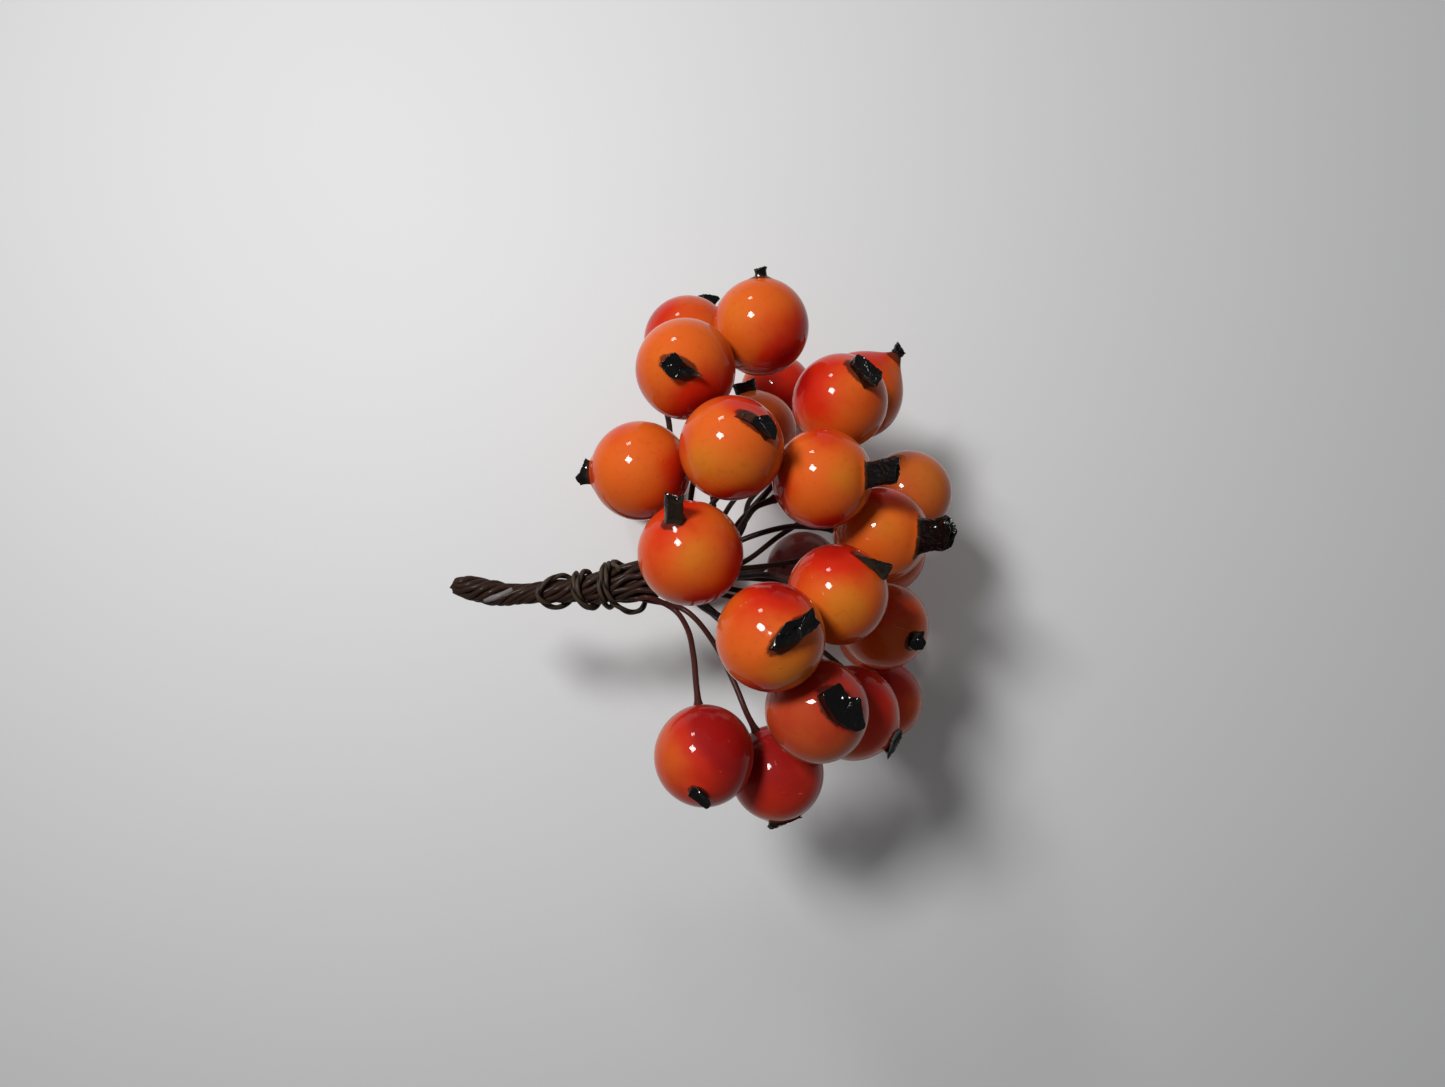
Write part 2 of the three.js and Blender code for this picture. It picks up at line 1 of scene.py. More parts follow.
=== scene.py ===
"""Looks of an artificial rowan berry sprig that lies on a table.

Lacquered balls, crumpled crepe tufts, covered wire stems that are twisted into a handle, and the
wire that binds it. The tables are in millimetres and in the frame that the sprig was drawn in; the
meshes are in metres and in the part's frame.
"""

import math

import bpy
import numpy as np
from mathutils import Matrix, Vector


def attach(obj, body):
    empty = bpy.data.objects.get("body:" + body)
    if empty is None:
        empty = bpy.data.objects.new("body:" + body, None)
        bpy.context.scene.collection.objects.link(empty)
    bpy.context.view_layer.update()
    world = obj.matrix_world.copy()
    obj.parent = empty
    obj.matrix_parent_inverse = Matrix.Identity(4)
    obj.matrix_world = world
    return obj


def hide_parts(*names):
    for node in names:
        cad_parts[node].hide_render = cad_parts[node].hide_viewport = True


bl_info = {
    "name": "Rowan berry sprig",
    "version": (1, 0, 0),
    "blender": (4, 5, 0),
    "location": "3D View > Sidebar > Sprig",
    "description": "Dresses the packed sprig in lacquer, crepe and covered wire",
    "category": "Object",
}

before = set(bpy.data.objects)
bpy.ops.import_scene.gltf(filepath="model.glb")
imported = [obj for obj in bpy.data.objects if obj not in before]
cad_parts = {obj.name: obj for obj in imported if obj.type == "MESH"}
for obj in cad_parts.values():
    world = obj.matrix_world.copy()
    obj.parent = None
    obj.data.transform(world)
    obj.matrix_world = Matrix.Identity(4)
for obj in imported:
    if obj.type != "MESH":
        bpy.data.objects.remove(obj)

MM = 0.001
# Where the drawing's origin, the point of the table under the camera, is in the part's frame
DRAWN_AT = np.array([2.4352, 1.0129, 0.0])
CAMERA_AT = np.array([0, 0, 149.7])
KEY_AT = np.array([-94.0, 91.0, 248.0])

BERRY_RADIUS = 6.0
REST_HEIGHT = 5.8
STEM_IN_BERRY = 1.8
LACQUER_MOUND = 0.28
# Height of the collar of lacquer round a stem hole, and its reach over the ball in radians
COLLAR_HEIGHT = 0.22
COLLAR_REACH = 0.11
TUFT_ROOT_RADIUS = 0.33
TUFT_ROOT_DEPTH = 0.8
TUFT_NECK_DEPTH = 0.45
TUFT_SUNK = 0.06
TUFT_DENT = 0.25
TUFT_FOOT = 0.88
TUFT_WAIST = 0.07
RIB_DEPTH = 0.004
RAGGED_EDGE = 0.05
# What stands for out of reach where a distance has no meaning
FAR_OFF = 9.0

# Paints, painted shade and wire colours that are the same whatever the settings
FLECK = (0.20, 0.02, 0.004)
# painted shade: the brown glaze over berries that lie in shade
PAINTED_SHADE_BROWN = (0.09, 0.03, 0.025)
# partly real staining, partly painted shade where a tuft meets its ball
STAIN_AND_SHADE = (0.03, 0.004, 0.002)
SPECK = (0.02, 0.008, 0.006)
SCRATCH = (0.75, 0.35, 0.22)
RUBBED_THROUGH = (0.17, 0.15, 0.15)
# painted shade in the grooves between the binding wire's plies
SHADE_BETWEEN_PLIES = (0.010, 0.007, 0.005)
DRY_FIBRE = (0.10, 0.078, 0.055)

# The stage: lights in mm, radiance in the settings; the camera's lens and film in mm
LIGHTS_AIM = (5, 0, 40)
KEY_SIZE = (46, 54)
WINDOW_AT = (-285, 690, 390)
WINDOW_SIZE = (100, 100)
ROOM_COLOUR = (0.97, 0.98, 1.0, 1.0)
FLOOR_REACH_M = 4.0
LENS = 21.476
FILM_WIDTH = 36.0
CLIP_M = (0.005, 20.0)

# Each berry:
#   at, tip       its centre, and the direction of its tip
#   entry         the direction of its stem hole, where that isn't opposite the tip
#   lie           the angle that the tuft's width lies at about Z, in degrees
#   rim           corners of the tuft's upper end: across, through and up from the tip
#   size          of a hidden tuft instead: its width, thickness and height
#   route         the stem's way from the handle
#   red, yellow   painted patches: direction, half angle in degrees, strength. The red ones are
#                  blush, and on the limbs, the lower sides and berries in shade also painted shade;
#                  the yellow ones are thinner paint, and on berry 13 also painted light
# and where it differs from a plain one:
#   foot          width of the tuft's foot as a share of its rim's
#   waist         how far the tuft is drawn in half way up, as a share of its width
#   drawn         height of the cone of lacquer that is drawn out towards the tuft
#   stain_shade_reach reach of the dark staining round the foot, partly painted shade, 1 on a plain
#   one
#   brown         how brown the whole tuft is
#   film          where across the tuft it turns into a film under the lacquer: start, end
#   glints        spots of the tuft that mirror the key light: x, y from the centre, radius
#   umber share of a brown glaze over the paint, which paints shade on berries in shade
#   hairline      a scratch: the directions of its two ends
BERRIES = {
    "01": {
        "at": (4.8, 27, 42.1), "tip": (-0.01, 0.93, 0.37), "entry": (-0.45, -0.5, -0.74), "lie": 0,
        "rim": ((0.7, 0, 1.2), (0.5, 0.6, 1.2), (-0.1, 0.7, 1.1), (-0.7, 0.5, 0.9),
                (-0.9, 0, 0.9), (-0.6, -0.5, 0.9), (0, -0.6, 1.1), (0.5, -0.5, 1.2)),
        "route": ((-3, -2.6, 34.6), (-1.2, 3, 36), (-1.6, 10, 36.4), (-1, 17, 35.6)),
        "foot": 1.1, "waist": 0.2, "stain_shade_reach": 1.5,
        "red": ((0.5, -0.75, 0.3, 50, 1.1), (-0.95, 0, 0.25, 30, 0.45), (0.8, 0.3, 0.4, 36, 0.4)),
        "yellow": ((-0.6, 0.1, 0.8, 40, 0.5),),
    },
    "02": {
        "at": (-4.6, 27.3, 33.5), "tip": (0.38, 0.88, -0.28), "lie": -20,
        "rim": ((1.4, 0, 1.8), (0.9, 0.5, 1.8), (0.1, 0.5, 1.6), (-0.9, 0.4, 1.2),
                (-1.6, 0, 0.9), (-0.9, -0.4, 1.2), (0.1, -0.4, 1.6), (0.9, -0.4, 1.8)),
        "route": ((-6.6, 0.5, 34.5), (-6.8, 8.5, 35), (-7.1, 15.9, 35)),
        "red": ((-0.3, 0.4, 0.8, 90, 0.42), (-0.7, 0.5, 0.3, 36, 0.6), (0.6, -0.4, 0.6, 30, 0.3)),
    },
    "03": {
        "at": (-4.4, 20.8, 46.8), "tip": (-0.14, -0.15, 0.98), "entry": (0.2, -0.5, -0.84),
        "lie": -25,
        "rim": ((3.3, 0.3, 0.4), (1.7, 0.6, 0.7), (0.8, 0.8, 1.2), (-0.5, 1.4, 1.5),
                (-1.5, -0.4, 1.4), (-0.6, -1, 1.4), (0.5, -1.3, 1.2), (1.7, -0.4, 0.7)),
        "route": ((-5.2, -0.5, 35.5), (-4.2, 5.7, 36.8), (-3.4, 11, 37.2)),
        "film": (1.3, 3.2), "glints": ((-1.3, -1.0, 0.2),),
        "red": ((0.35, -0.8, 0.4, 44, 1.15), (0.9, 0.25, 0.3, 36, 0.5),
                (-0.95, -0.2, 0.2, 30, 0.4)),
        "yellow": ((-0.4, -0.1, 0.9, 30, 0.4),),
    },
    "04": {
        "at": (9, 25.5, REST_HEIGHT), "tip": (-0.29, 0.8, -0.52), "lie": 0, "size": (2.8, 1.5, 1.6),
        "route": ((-1, -2.6, 31.8), (2.8, 2, 29.5), (3.8, 6, 26), (9.6, 12, 17.5)),
        "red": ((0, 0, 1, 90, 0.8), (0.3, -0.8, 0.5, 60, 0.6)),
    },
    "05": {
        "at": (14.7, 17.8, 41.4), "tip": (0.3, 0.48, 0.83), "lie": -53,
        "rim": ((2.7, 0, 1.4), (2.1, 1, 1.4), (1, 0.9, 1.4), (-0.7, 0.7, 1.4),
                (-1.6, 0.4, 1.2), (-0.8, -0.9, 1), (1.3, -1.3, 1.1), (3, -1.5, 1.2)),
        "route": ((-1.5, -2, 33.6), (2.5, 3.2, 34), (4.4, 4.9, 35.5), (6.9, 8, 36)),
        "red": ((-0.85, 0.25, 0.4, 46, 0.95), (0.2, 0.9, 0.3, 35, 0.5), (0, -0.3, 0.9, 60, 0.25)),
        "yellow": ((0.3, -0.3, 0.9, 35, 0.3),),
    },
    "06": {
        "at": (18.8, 20.4, 30.3), "tip": (0.67, 0.69, 0.28), "lie": -56,
        "rim": ((0.6, 0, 2.5), (0.4, 0.5, 2.5), (-0.3, 0.6, 2.7), (-1.1, 0.5, 2.8),
                (-1.4, 0, 2.8), (-1.1, -0.5, 2.7), (-0.3, -0.6, 2.6), (0.5, -0.5, 2.4)),
        "route": ((-1.5, -2.2, 32), (2.6, 3.3, 30), (5.5, 6.5, 29.5)),
        "foot": 0.7, "drawn": 2.0, "stain_shade_reach": 1.8, "glints": ((4.4, 3.9, 0.3), (4.9, 4.4, 0.3)),
        "red": ((0.1, 0.9, 0.4, 42, 0.9),),
        "yellow": ((0.7, -0.2, 0.6, 40, 0.3),),
    },
    "07": {
        "at": (1, 10.8, 52.1), "tip": (0.4, 0.38, 0.84), "entry": (-0.15, -0.55, -0.82), "lie": -30,
        "rim": ((2.3, 0.3, 1.1), (1.3, 1, 1.1), (0.7, 1, 1), (-0.1, 0.2, 0.8),
                (-1.6, 0, 0.6), (-2.1, -0.9, 0.5), (0.3, -0.8, 0.6), (2.8, -1.1, 1)),
        "route": ((-4, -2, 36.5), (-1.5, 4.6, 41.5)),
        "film": (0.3, -0.8), "glints": ((-0.5, 2.3, 0.25), (0.35, 2.2, 0.22), (1.2, 2.9, 0.2)),
        "red": ((0.25, 0.8, 0.5, 34, 0.8), (-0.9, 0.1, 0.3, 32, 0.5), (0.1, -0.95, 0.2, 32, 0.9),
                (0.95, 0, 0.2, 26, 0.4)),
        "yellow": ((-0.55, -0.3, 0.75, 28, 0.9), (0.2, -0.5, 0.8, 30, 0.6)),
    },
    "08": {
        "at": (5.3, 17.2, 18.3), "tip": (-0.28, 0.93, 0.2), "entry": (-0.1, -0.95, 0.3), "lie": 0,
        "size": (3.8, 1.6, 1.8),
        "route": ((-2, -1.8, 32.6), (0.2, 3.8, 31), (2, 6.6, 27)),
        "red": ((-0.2, -0.6, 0.7, 60, 0.6),),
    },
    "09": {
        "at": (-9.8, 8.7, 46.3), "tip": (-0.99, -0.03, 0.1), "entry": (0.5, -0.55, -0.67),
        "lie": 100,
        "rim": ((1.7, 0, 0.5), (1.1, 0.4, 0.8), (0.2, 0.4, 1.1), (-0.6, 0.3, 1.8),
                (-1.6, 0, 1.1), (-0.8, -0.4, 1.7), (0.2, -0.4, 1.1), (1.1, -0.4, 0.8)),
        "route": ((-6.8, -1.5, 37),),
        "brown": 0.4, "glints": ((-6.4, 0.3, 0.2),),
        "red": ((0.88, -0.1, 0.4, 38, 1.0), (-0.5, 0.8, 0.3, 38, 0.55), (0.1, -0.9, 0.2, 34, 0.55),
                (-0.9, -0.3, 0.2, 30, 0.5)),
        "yellow": ((0.1, -0.1, 0.95, 30, 0.35),),
    },
    "10": {
        "at": (-3.6, -1.1, 52.4), "tip": (-0.31, 0.55, 0.78), "entry": (0.27, -0.62, -0.73),
        "lie": 5,
        "rim": ((2.6, 0.7, 3.3), (2.2, 1.2, 2.6), (1.5, 1.5, 2.3), (0.9, 1.8, 2.6),
                (0.5, 1.5, 3.5), (0.7, 0.8, 2.9), (1.5, 0.5, 2.2), (2.3, 0.3, 2.7)),
        "route": ((-6, -5.6, 38), (-2.6, -6.3, 43)),
        "foot": 1.1, "stain_shade_reach": 1.15, "brown": 0.7, "glints": ((-2.1, 6.3, 0.18),),
        "red": ((-0.2, 0.85, 0.4, 42, 0.8), (0.95, -0.2, 0.2, 34, 0.9), (0.3, -0.9, 0.25, 34, 0.7),
                (-0.7, -0.2, 0.6, 42, 0.45)),
        "yellow": ((0.1, -0.05, 1, 26, 0.8),),
    },
    "11": {
        "at": (11.8, 7.7, 47.2), "tip": (0.78, 0, 0.62), "entry": (-0.9, -0.38, -0.2), "lie": 90,
        "rim": ((2.2, 0, 3.7), (1.7, 0.5, 4.5), (0.7, 0.5, 4.1), (-0.6, 0.4, 3.9),
                (-1, 0, 3.8), (-0.6, -0.4, 3.8), (0.7, -0.5, 4), (1.9, -0.5, 3.7)),
        "route": ((-3, -3.2, 35.2), (1, 0.3, 39), (2.8, 2.8, 42.5)),
        "foot": 1.0, "brown": 0.1, "glints": ((5.0, 1.0, 0.15), (5.4, 0.4, 0.2)),
        "red": ((0, 0.85, 0.45, 36, 0.52), (0.15, -0.95, 0.15, 32, 1.1),
                (-0.9, -0.2, 0.3, 34, 0.6)),
        "yellow": ((0.35, 0, 0.93, 26, 0.8),),
    },
    "12": {
        "at": (25.6, 6.9, 30.5), "tip": (0.5, 0.35, -0.79), "entry": (-0.96, -0.28, 0.05),
        "lie": -40, "size": (3, 1.6, 2),
        "route": ((-2, -4.2, 33), (3.1, -2.4, 32.6), (8, 1.2, 32.2), (13.5, 4.2, 31.6)),
        "umber": 0.22,
        "red": ((-0.7, -0.4, 0.5, 40, 0.4), (0.9, 0.3, 0.2, 30, 0.45)),
        "yellow": ((0.3, 0.3, 0.9, 60, 0.7),),
    },
    "13": {
        "at": (20, 1.25, 40.6), "tip": (0.68, -0.06, 0.73), "entry": (-0.95, 0.1, -0.3), "lie": 85,
        "rim": ((2.7, 0, 3.3), (2.3, 0.6, 3.9), (1, 0.7, 4.6), (-0.8, 0.6, 4.2),
                (-1.7, 0, 3.1), (-1, -0.6, 4), (0.9, -0.7, 4.5), (2.2, -0.6, 3.8)),
        "route": ((-2, -2, 34.2), (2.9, 0.6, 34.4), (8.6, 2.2, 36)),
        "foot": 1.15, "waist": 0.16, "brown": 0.2,
        "glints": ((6.1, 1.2, 0.3), (5.2, 0.7, 0.25), (3.5, 1.7, 0.16), (3.4, 0.35, 0.16),
                   (2.7, -0.7, 0.16), (4.2, -0.4, 0.16)),
        "red": ((-0.1, 0.9, 0.4, 34, 0.95), (0.85, 0.1, 0.4, 30, 0.5), (-0.3, -0.8, 0.4, 34, 0.35)),
        # the yellow on berry 13 is painted light, where berry 11 shades it from the key light
        "yellow": ((-0.05, 0.1, 0.95, 34, 0.6),),
    },
    "14": {
        "at": (13.2, -4, 8.6), "tip": (0.6, -0.1, -0.79), "lie": 0, "size": (2.8, 1.5, 1.6),
        "route": ((0, -4.4, 32.4), (4.5, -4.1, 27)),
        # berry 14 lies in shade under the others: its brown glaze is painted shade
        "umber": 0.8,
        # the red over berry 14 is painted shade, for it lies in shade under the others
        "red": ((-0.6, 0.1, 0.79, 90, 1.1),),
    },
    "15": {
        "at": (13.5, -6, 48.1), "tip": (0.55, 0.61, 0.57), "entry": (-0.88, 0.25, -0.4), "lie": -30,
        "rim": ((2, 0.6, 1.4), (0.1, 0.2, 0.8), (-1.3, -0.3, 0.4), (-2.2, -0.6, 0),
                (-0.5, -1.1, 0.2), (0.7, -1, 0.2), (2.2, -1, 0), (2.1, -0.5, 1.1)),
        "route": ((-1, -4.4, 35.8), (2.2, -4.2, 40)),
        "brown": 0.5,
        "red": ((-0.15, 0.88, 0.4, 42, 1.0), (0.5, 0.7, 0.5, 30, 0.4), (-0.9, -0.1, 0.3, 34, 0.5),
                (0.2, -0.95, 0.2, 30, 0.4)),
        "yellow": ((0, -0.2, 1, 32, 1.0),),
    },
    "16": {
        "at": (24.8, -1.6, 18.3), "tip": (0.75, -0.1, -0.65), "lie": 90, "size": (2.8, 1.5, 1.6),
        "route": ((3.5, -3.3, 33), (9.5, -2.6, 30.5), (14.5, -1.4, 27)),
        "red": ((-0.75, 0.1, 0.65, 80, 0.7),),
    },
    "17": {
        "at": (22, -11.1, 32.3), "tip": (0.47, -0.28, 0.83), "entry": (-0.85, 0.48, -0.2),
        "lie": 60,
        "rim": ((1.3, 0.2, 1.3), (1.9, 0.6, 1.3), (1.3, 1.7, 1.3), (0, 1.3, 0.8),
                (-0.7, 0.8, 0.8), (-0.9, -0.1, 1), (-0.2, -0.9, 1.3), (0.7, -0.8, 1.3)),
        "route": ((3.5, -4.6, 34.6), (9.5, -5.6, 32.4)),
        "glints": ((3.2, -1.3, 0.25),), "hairline": ((-0.07, 0.11, 1), (0.4, -0.06, 0.9)),
        "red": ((-0.2, 0.5, 0.8, 80, 0.4), (-0.7, 0.5, 0.4, 40, 0.4), (0.2, -0.9, 0.2, 40, 0.4)),
    },
    "18": {
        "at": (5.2, -10.1, 56.4), "tip": (0.38, 0.19, 0.91), "entry": (-0.5, 0.1, -0.86), "lie": 39,
        "rim": ((2, -0.1, 1.6), (2.4, 1, 1.6), (0.7, 1, 1.4), (-1.1, 1.7, 1.4),
                (-3.7, 0.7, 0.8), (-1.4, -0.4, 1.2), (0.6, -0.8, 1.4), (2, -0.8, 1.6)),
        "route": ((-5.4, -6.5, 36), (-2.2, -8.2, 41.5)),
        "glints": ((0.4, 1.2, 0.45), (0, 0.1, 0.45), (1.3, 1.1, 0.2)),
        "red": ((0.15, 0.92, 0.3, 40, 1.15), (-0.8, 0.25, 0.4, 38, 0.25),
                (-0.1, -0.95, 0.15, 34, 0.7)),
        "yellow": ((0.3, -0.5, 0.8, 34, 0.9),),
    },
    "19": {
        "at": (10.8, -19.2, 50.6), "tip": (0.35, 0.22, 0.91), "entry": (-0.6, 0.35, -0.72),
        "lie": -46,
        "rim": ((2.9, 0.1, 1.4), (1.6, 0.9, 1.5), (0.4, 1.9, 1.5), (-0.5, 1.1, 1.2),
                (-2.4, 1.2, 1.4), (-3, -1, 1.3), (-0.2, -2, 1.4), (2.4, -1.2, 1.4)),
        "route": ((-4.4, -7.2, 35.6), (-0.8, -9.6, 37.5), (3, -13, 41)),
        "umber": 0.28, "glints": ((2.1, 2.6, 0.35), (2.9, 2.6, 0.3)),
        "red": ((-0.1, 0.85, 0.45, 44, 1.0), (0.85, 0.3, 0.4, 36, 0.6), (-0.7, -0.5, 0.5, 50, 0.5),
                (0.2, -0.2, 0.9, 40, 0.25)),
        "yellow": ((0.1, -0.35, 0.93, 30, 0.5),),
    },
    "20": {
        "at": (16.4, -21.5, 40.1), "tip": (0.86, -0.43, 0.27), "entry": (-0.8, 0.57, -0.2),
        "lie": 80,
        "rim": ((1.2, 0.2, 0.4), (0.7, 1.6, -0.1), (-0.4, 1.8, -0.1), (-1.4, 1.3, 0.1),
                (-3, 0.6, 0.5), (-1.6, -0.2, 0.9), (-0.3, -0.3, 0.9), (0.8, -0.2, 0.7)),
        "route": ((-4, -7, 34), (-0.8, -9.4, 34.5), (5, -13.4, 36.2)),
        "red": ((0.2, 0.5, 0.8, 80, 0.85), (0.2, 0.9, 0.2, 35, 0.4)),
    },
    "21": {
        "at": (23.8, -23.3, 20.7), "tip": (0.6, -0.5, -0.62), "lie": -30, "size": (2.8, 1.5, 1.8),
        "route": ((-2, -6.6, 33.4), (4, -8.2, 32.4), (12, -13.5, 29.5)),
        "red": ((0.1, 0.5, 0.8, 80, 0.7), (-0.3, 0.8, 0.4, 40, 0.5)),
    },
    "22": {
        "at": (-2.2, -25.2, 47.1), "tip": (-0.09, -0.5, 0.86), "entry": (-0.12, 0.9, -0.42),
        "lie": -38,
        "rim": ((1.7, 0.1, 1), (1.2, 0.7, 1), (0.3, 1, 0.9), (-0.4, 1.2, 0.7),
                (-1.1, 0.5, 0.7), (-1, -0.4, 0.7), (-0.1, -0.5, 0.8), (1.6, -0.6, 1)),
        "route": ((-6.5, -8.8, 34.5), (-4.7, -11, 36.5), (-3.7, -14, 40.6)),
        "umber": 0.12, "glints": ((-0.4, -2.6, 0.25),),
        "hairline": ((0.13, 0.01, 1), (0.59, -0.19, 0.8)),
        "red": ((0.3, 0.6, 0.7, 40, 1.2), (0.65, -0.05, 0.7, 44, 0.8), (-0.2, 0.9, 0.2, 40, 0.5),
                (-0.1, -0.8, 0.4, 50, 0.5), (-0.8, 0.1, 0.5, 60, 0.2)),
    },
    "23": {
        "at": (6.9, -29.1, 40.1), "tip": (0.04, -0.99, 0.15), "entry": (-0.44, 0.88, 0.1),
        "lie": 15,
        "rim": ((3, 0.5, -0.5), (1.1, 1, 0.1), (-0.2, 0.9, 0.4), (-1.2, 0.6, 0.7),
                (-1.5, 0, 0.6), (-1.2, -0.4, 1), (-0.2, -0.4, 0.8), (1.1, -0.2, 0.3)),
        "route": ((-6, -8.5, 33.8), (-4, -9.7, 34.4), (-1, -13.2, 37), (1.5, -17.8, 39.5)),
        "umber": 0.15, "hairline": ((0.04, -0.125, 1), (0.66, -0.23, 0.7)),
        "red": ((-0.45, 0.6, 0.6, 52, 1.1), (0.4, -0.3, 0.8, 80, 0.7)),
    },
    "24": {
        "at": (25.2, -15.3, REST_HEIGHT), "tip": (0.72, -0.5, -0.48), "entry": (-0.6, 0.4, 0.69),
        "lie": 55, "size": (2.8, 1.5, 1.6),
        "route": ((-1, -5.8, 33.6), (3.5, -6.6, 32.6), (9, -7.4, 28.5), (15.5, -9.6, 19.5)),
        "red": ((-0.6, 0.4, 0.69, 80, 0.7),),
    },
    "25": {
        "at": (-13.8, 11.4, REST_HEIGHT), "tip": (-0.6, 0.65, -0.47), "entry": (0.45, -0.6, 0.66),
        "lie": 43, "size": (2.8, 1.5, 1.6),
        "route": ((-7.2, -1.8, 29.6), (-7.8, 2.7, 22)),
        "red": ((0.45, -0.6, 0.66, 60, 0.9),),
    },
    "26": {
        "at": (-4.6, -2.7, REST_HEIGHT), "tip": (-0.45, -0.75, -0.48), "entry": (0.1, 0.2, 0.97),
        "lie": -31, "size": (2.8, 1.5, 1.6),
        "route": ((-6.4, -4.6, 29.6), (-4.7, -3, 22)),
        "red": ((0.1, 0.2, 0.97, 60, 0.9),),
    },
}

# Handle: x, y, z and radius of the twisted rope
HANDLE = (
    (-36.4, -5.7, 33.5, 0.6),
    (-35.6, -5.75, 33.5, 1.2),
    (-34.6, -5.9, 33.5, 1.6),
    (-32.5, -6.35, 33.5, 1.85),
    (-30.2, -6.75, 33.6, 1.75),
    (-27.9, -6.85, 33.6, 1.5),
    (-25.5, -6.65, 33.6, 1.5),
    (-22.5, -6.5, 33.7, 1.65),
    (-19.8, -6.25, 33.7, 1.75),
    (-17.2, -6, 33.8, 2.2),
    (-14.5, -5.5, 33.8, 2.6),
    (-12.4, -5.2, 33.8, 2.95),
    (-10, -5, 33.8, 3.3),
)
MOUTH_X = -10.0
FOLD_X = -35.0
# Reach of each ring of stems from the middle of the mouth, and how many it holds
MOUTH_RINGS = ((0.55, 3), (1.6, 9), (2.65, 14))
# Twist of the rope in radians a millimetre, at x
TWIST = ((-37, 0.47), (-25, 0.45), (-20, 0.37), (-16, 0.24), (-12, 0.12), (-10, 0.06))
# Of the outer ring at the mouth, the stems that lie under the others where the rope is thin
SUNK_STEMS = (1, 5, 8, 12)
# The stem whose cover is rubbed through in the handle, and where that begins and ends
BARE_STEM = "18"
BARE_FROM = (-31.9, -31.5)
BARE_TO = (-28, -28.4)
RUSSET_STEMS = ("22", "23")
# How far from the rope's middle a strand of the two inner rings and a sunk one lie, as shares
INNER_SHARES = (0.22, 0.58)
SUNK_SHARE = 0.55
CORE_SHARE = 0.55
CORE_FROM_X = -34.8
# The flare of a stem's cover at its berry: how much wider, and over what length
FLARE = 0.3
FLARE_REACH = 0.55
STEM_SIDES = 10
STEM_STEP = 0.5

# Binding wire: its x at each quarter turn round the handle, from the back by way of the top (+Y),
# the front (+Z) and the bottom; then its loose end
WIRE_QUARTERS_X = (
    -19.4, -21.8, -24.4, -22.2,
    -19.9, -19.7, -19.6, -17.9,
    -17.6, -18.5, -19.1, -17.4,
    -16.2, -15.8, -16.1, -15.1,
    -14.7, -15.2, -15.3,
)
WIRE_GAP = 0.06
WIRE_SIDES = 16
WIRE_STEP = 0.16
PLY_TWIST = 2.6
WIRE_LOOSE_END = (
    (-14.6, -7.6, 35.9),
    (-13.6, -8.5, 35.2),
    (-12.4, -9.2, 34),
    (-11, -8.9, 32.4),
    (-10.6, -7, 30.3),
    (-11, -4.5, 29.8),
    (-12.8, -3.6, 30.2),
    (-14.3, -2.7, 31.4),
    (-14.7, -2.5, 33.6),
    (-14.3, -2.9, 35.6),
    (-13.4, -3.5, 36.8),
)


# Settings


class BerrySettings(bpy.types.PropertyGroup):
    orange: bpy.props.FloatVectorProperty(
        name="Orange", description="Ground colour of the balls", subtype="COLOR",
        default=(0.56, 0.088, 0.008), min=0, max=1)
    yellow: bpy.props.FloatVectorProperty(
        name="Yellow", description="Thinly painted patches", subtype="COLOR",
        default=(0.52, 0.135, 0.009), min=0, max=1)
    red: bpy.props.FloatVectorProperty(
        name="Red", description="Blush round the stem end", subtype="COLOR",
        default=(0.48, 0.015, 0.002), min=0, max=1)
    crimson: bpy.props.FloatVectorProperty(
        name="Crimson", description="Where the blush is thickest", subtype="COLOR",
        default=(0.29, 0.002, 0.002), min=0, max=1)
    unevenness: bpy.props.FloatProperty(
        name="Unevenness", description="How far a ball strays from round", subtype="DISTANCE",
        default=0.00006, min=0, max=0.0005)
    coat_roughness: bpy.props.FloatProperty(
        name="Lacquer roughness", description="Roughness of the clear coat", subtype="FACTOR",
        default=0.05, min=0, max=1)


class TuftSettings(bpy.types.PropertyGroup):
    black: bpy.props.FloatVectorProperty(
        name="Black", description="Colour of the lacquered crepe", subtype="COLOR",
        default=(0.0022, 0.0016, 0.0014), min=0, max=1)
    brown: bpy.props.FloatVectorProperty(
        name="Brown", description="Colour where the crepe is thin", subtype="COLOR",
        default=(0.02, 0.011, 0.005), min=0, max=1)
    film: bpy.props.FloatVectorProperty(
        name="Film", description="Colour where the crepe is a film under the lacquer",
        subtype="COLOR", default=(0.05, 0.018, 0.011), min=0, max=1)
    crumple: bpy.props.FloatProperty(
        name="Crumple", description="Depth of the folds", subtype="DISTANCE",
        default=0.00009, min=0, max=0.001)


class StemSettings(bpy.types.PropertyGroup):
    radius: bpy.props.FloatProperty(
        name="Radius", description="Radius of a covered wire", subtype="DISTANCE",
        default=0.00038, min=0.0002, max=0.001)
    cover: bpy.props.FloatVectorProperty(
        name="Cover", description="Colour of the paper cover", subtype="COLOR",
        default=(0.03, 0.013, 0.01), min=0, max=1)
    worn: bpy.props.FloatVectorProperty(
        name="Worn", description="Colour of the rubbed cover of the handle", subtype="COLOR",
        default=(0.027, 0.0135, 0.0085), min=0, max=1)
    russet: bpy.props.FloatVectorProperty(
        name="Russet", description="Colour of the stems that took some red lacquer",
        subtype="COLOR", default=(0.055, 0.015, 0.012), min=0, max=1)


class WireSettings(bpy.types.PropertyGroup):
    radius: bpy.props.FloatProperty(
        name="Radius", description="Radius of the binding wire", subtype="DISTANCE",
        default=0.00039, min=0.0002, max=0.001)
    khaki: bpy.props.FloatVectorProperty(
        name="Khaki", description="Colour of the binding wire", subtype="COLOR",
        default=(0.052, 0.034, 0.022), min=0, max=1)


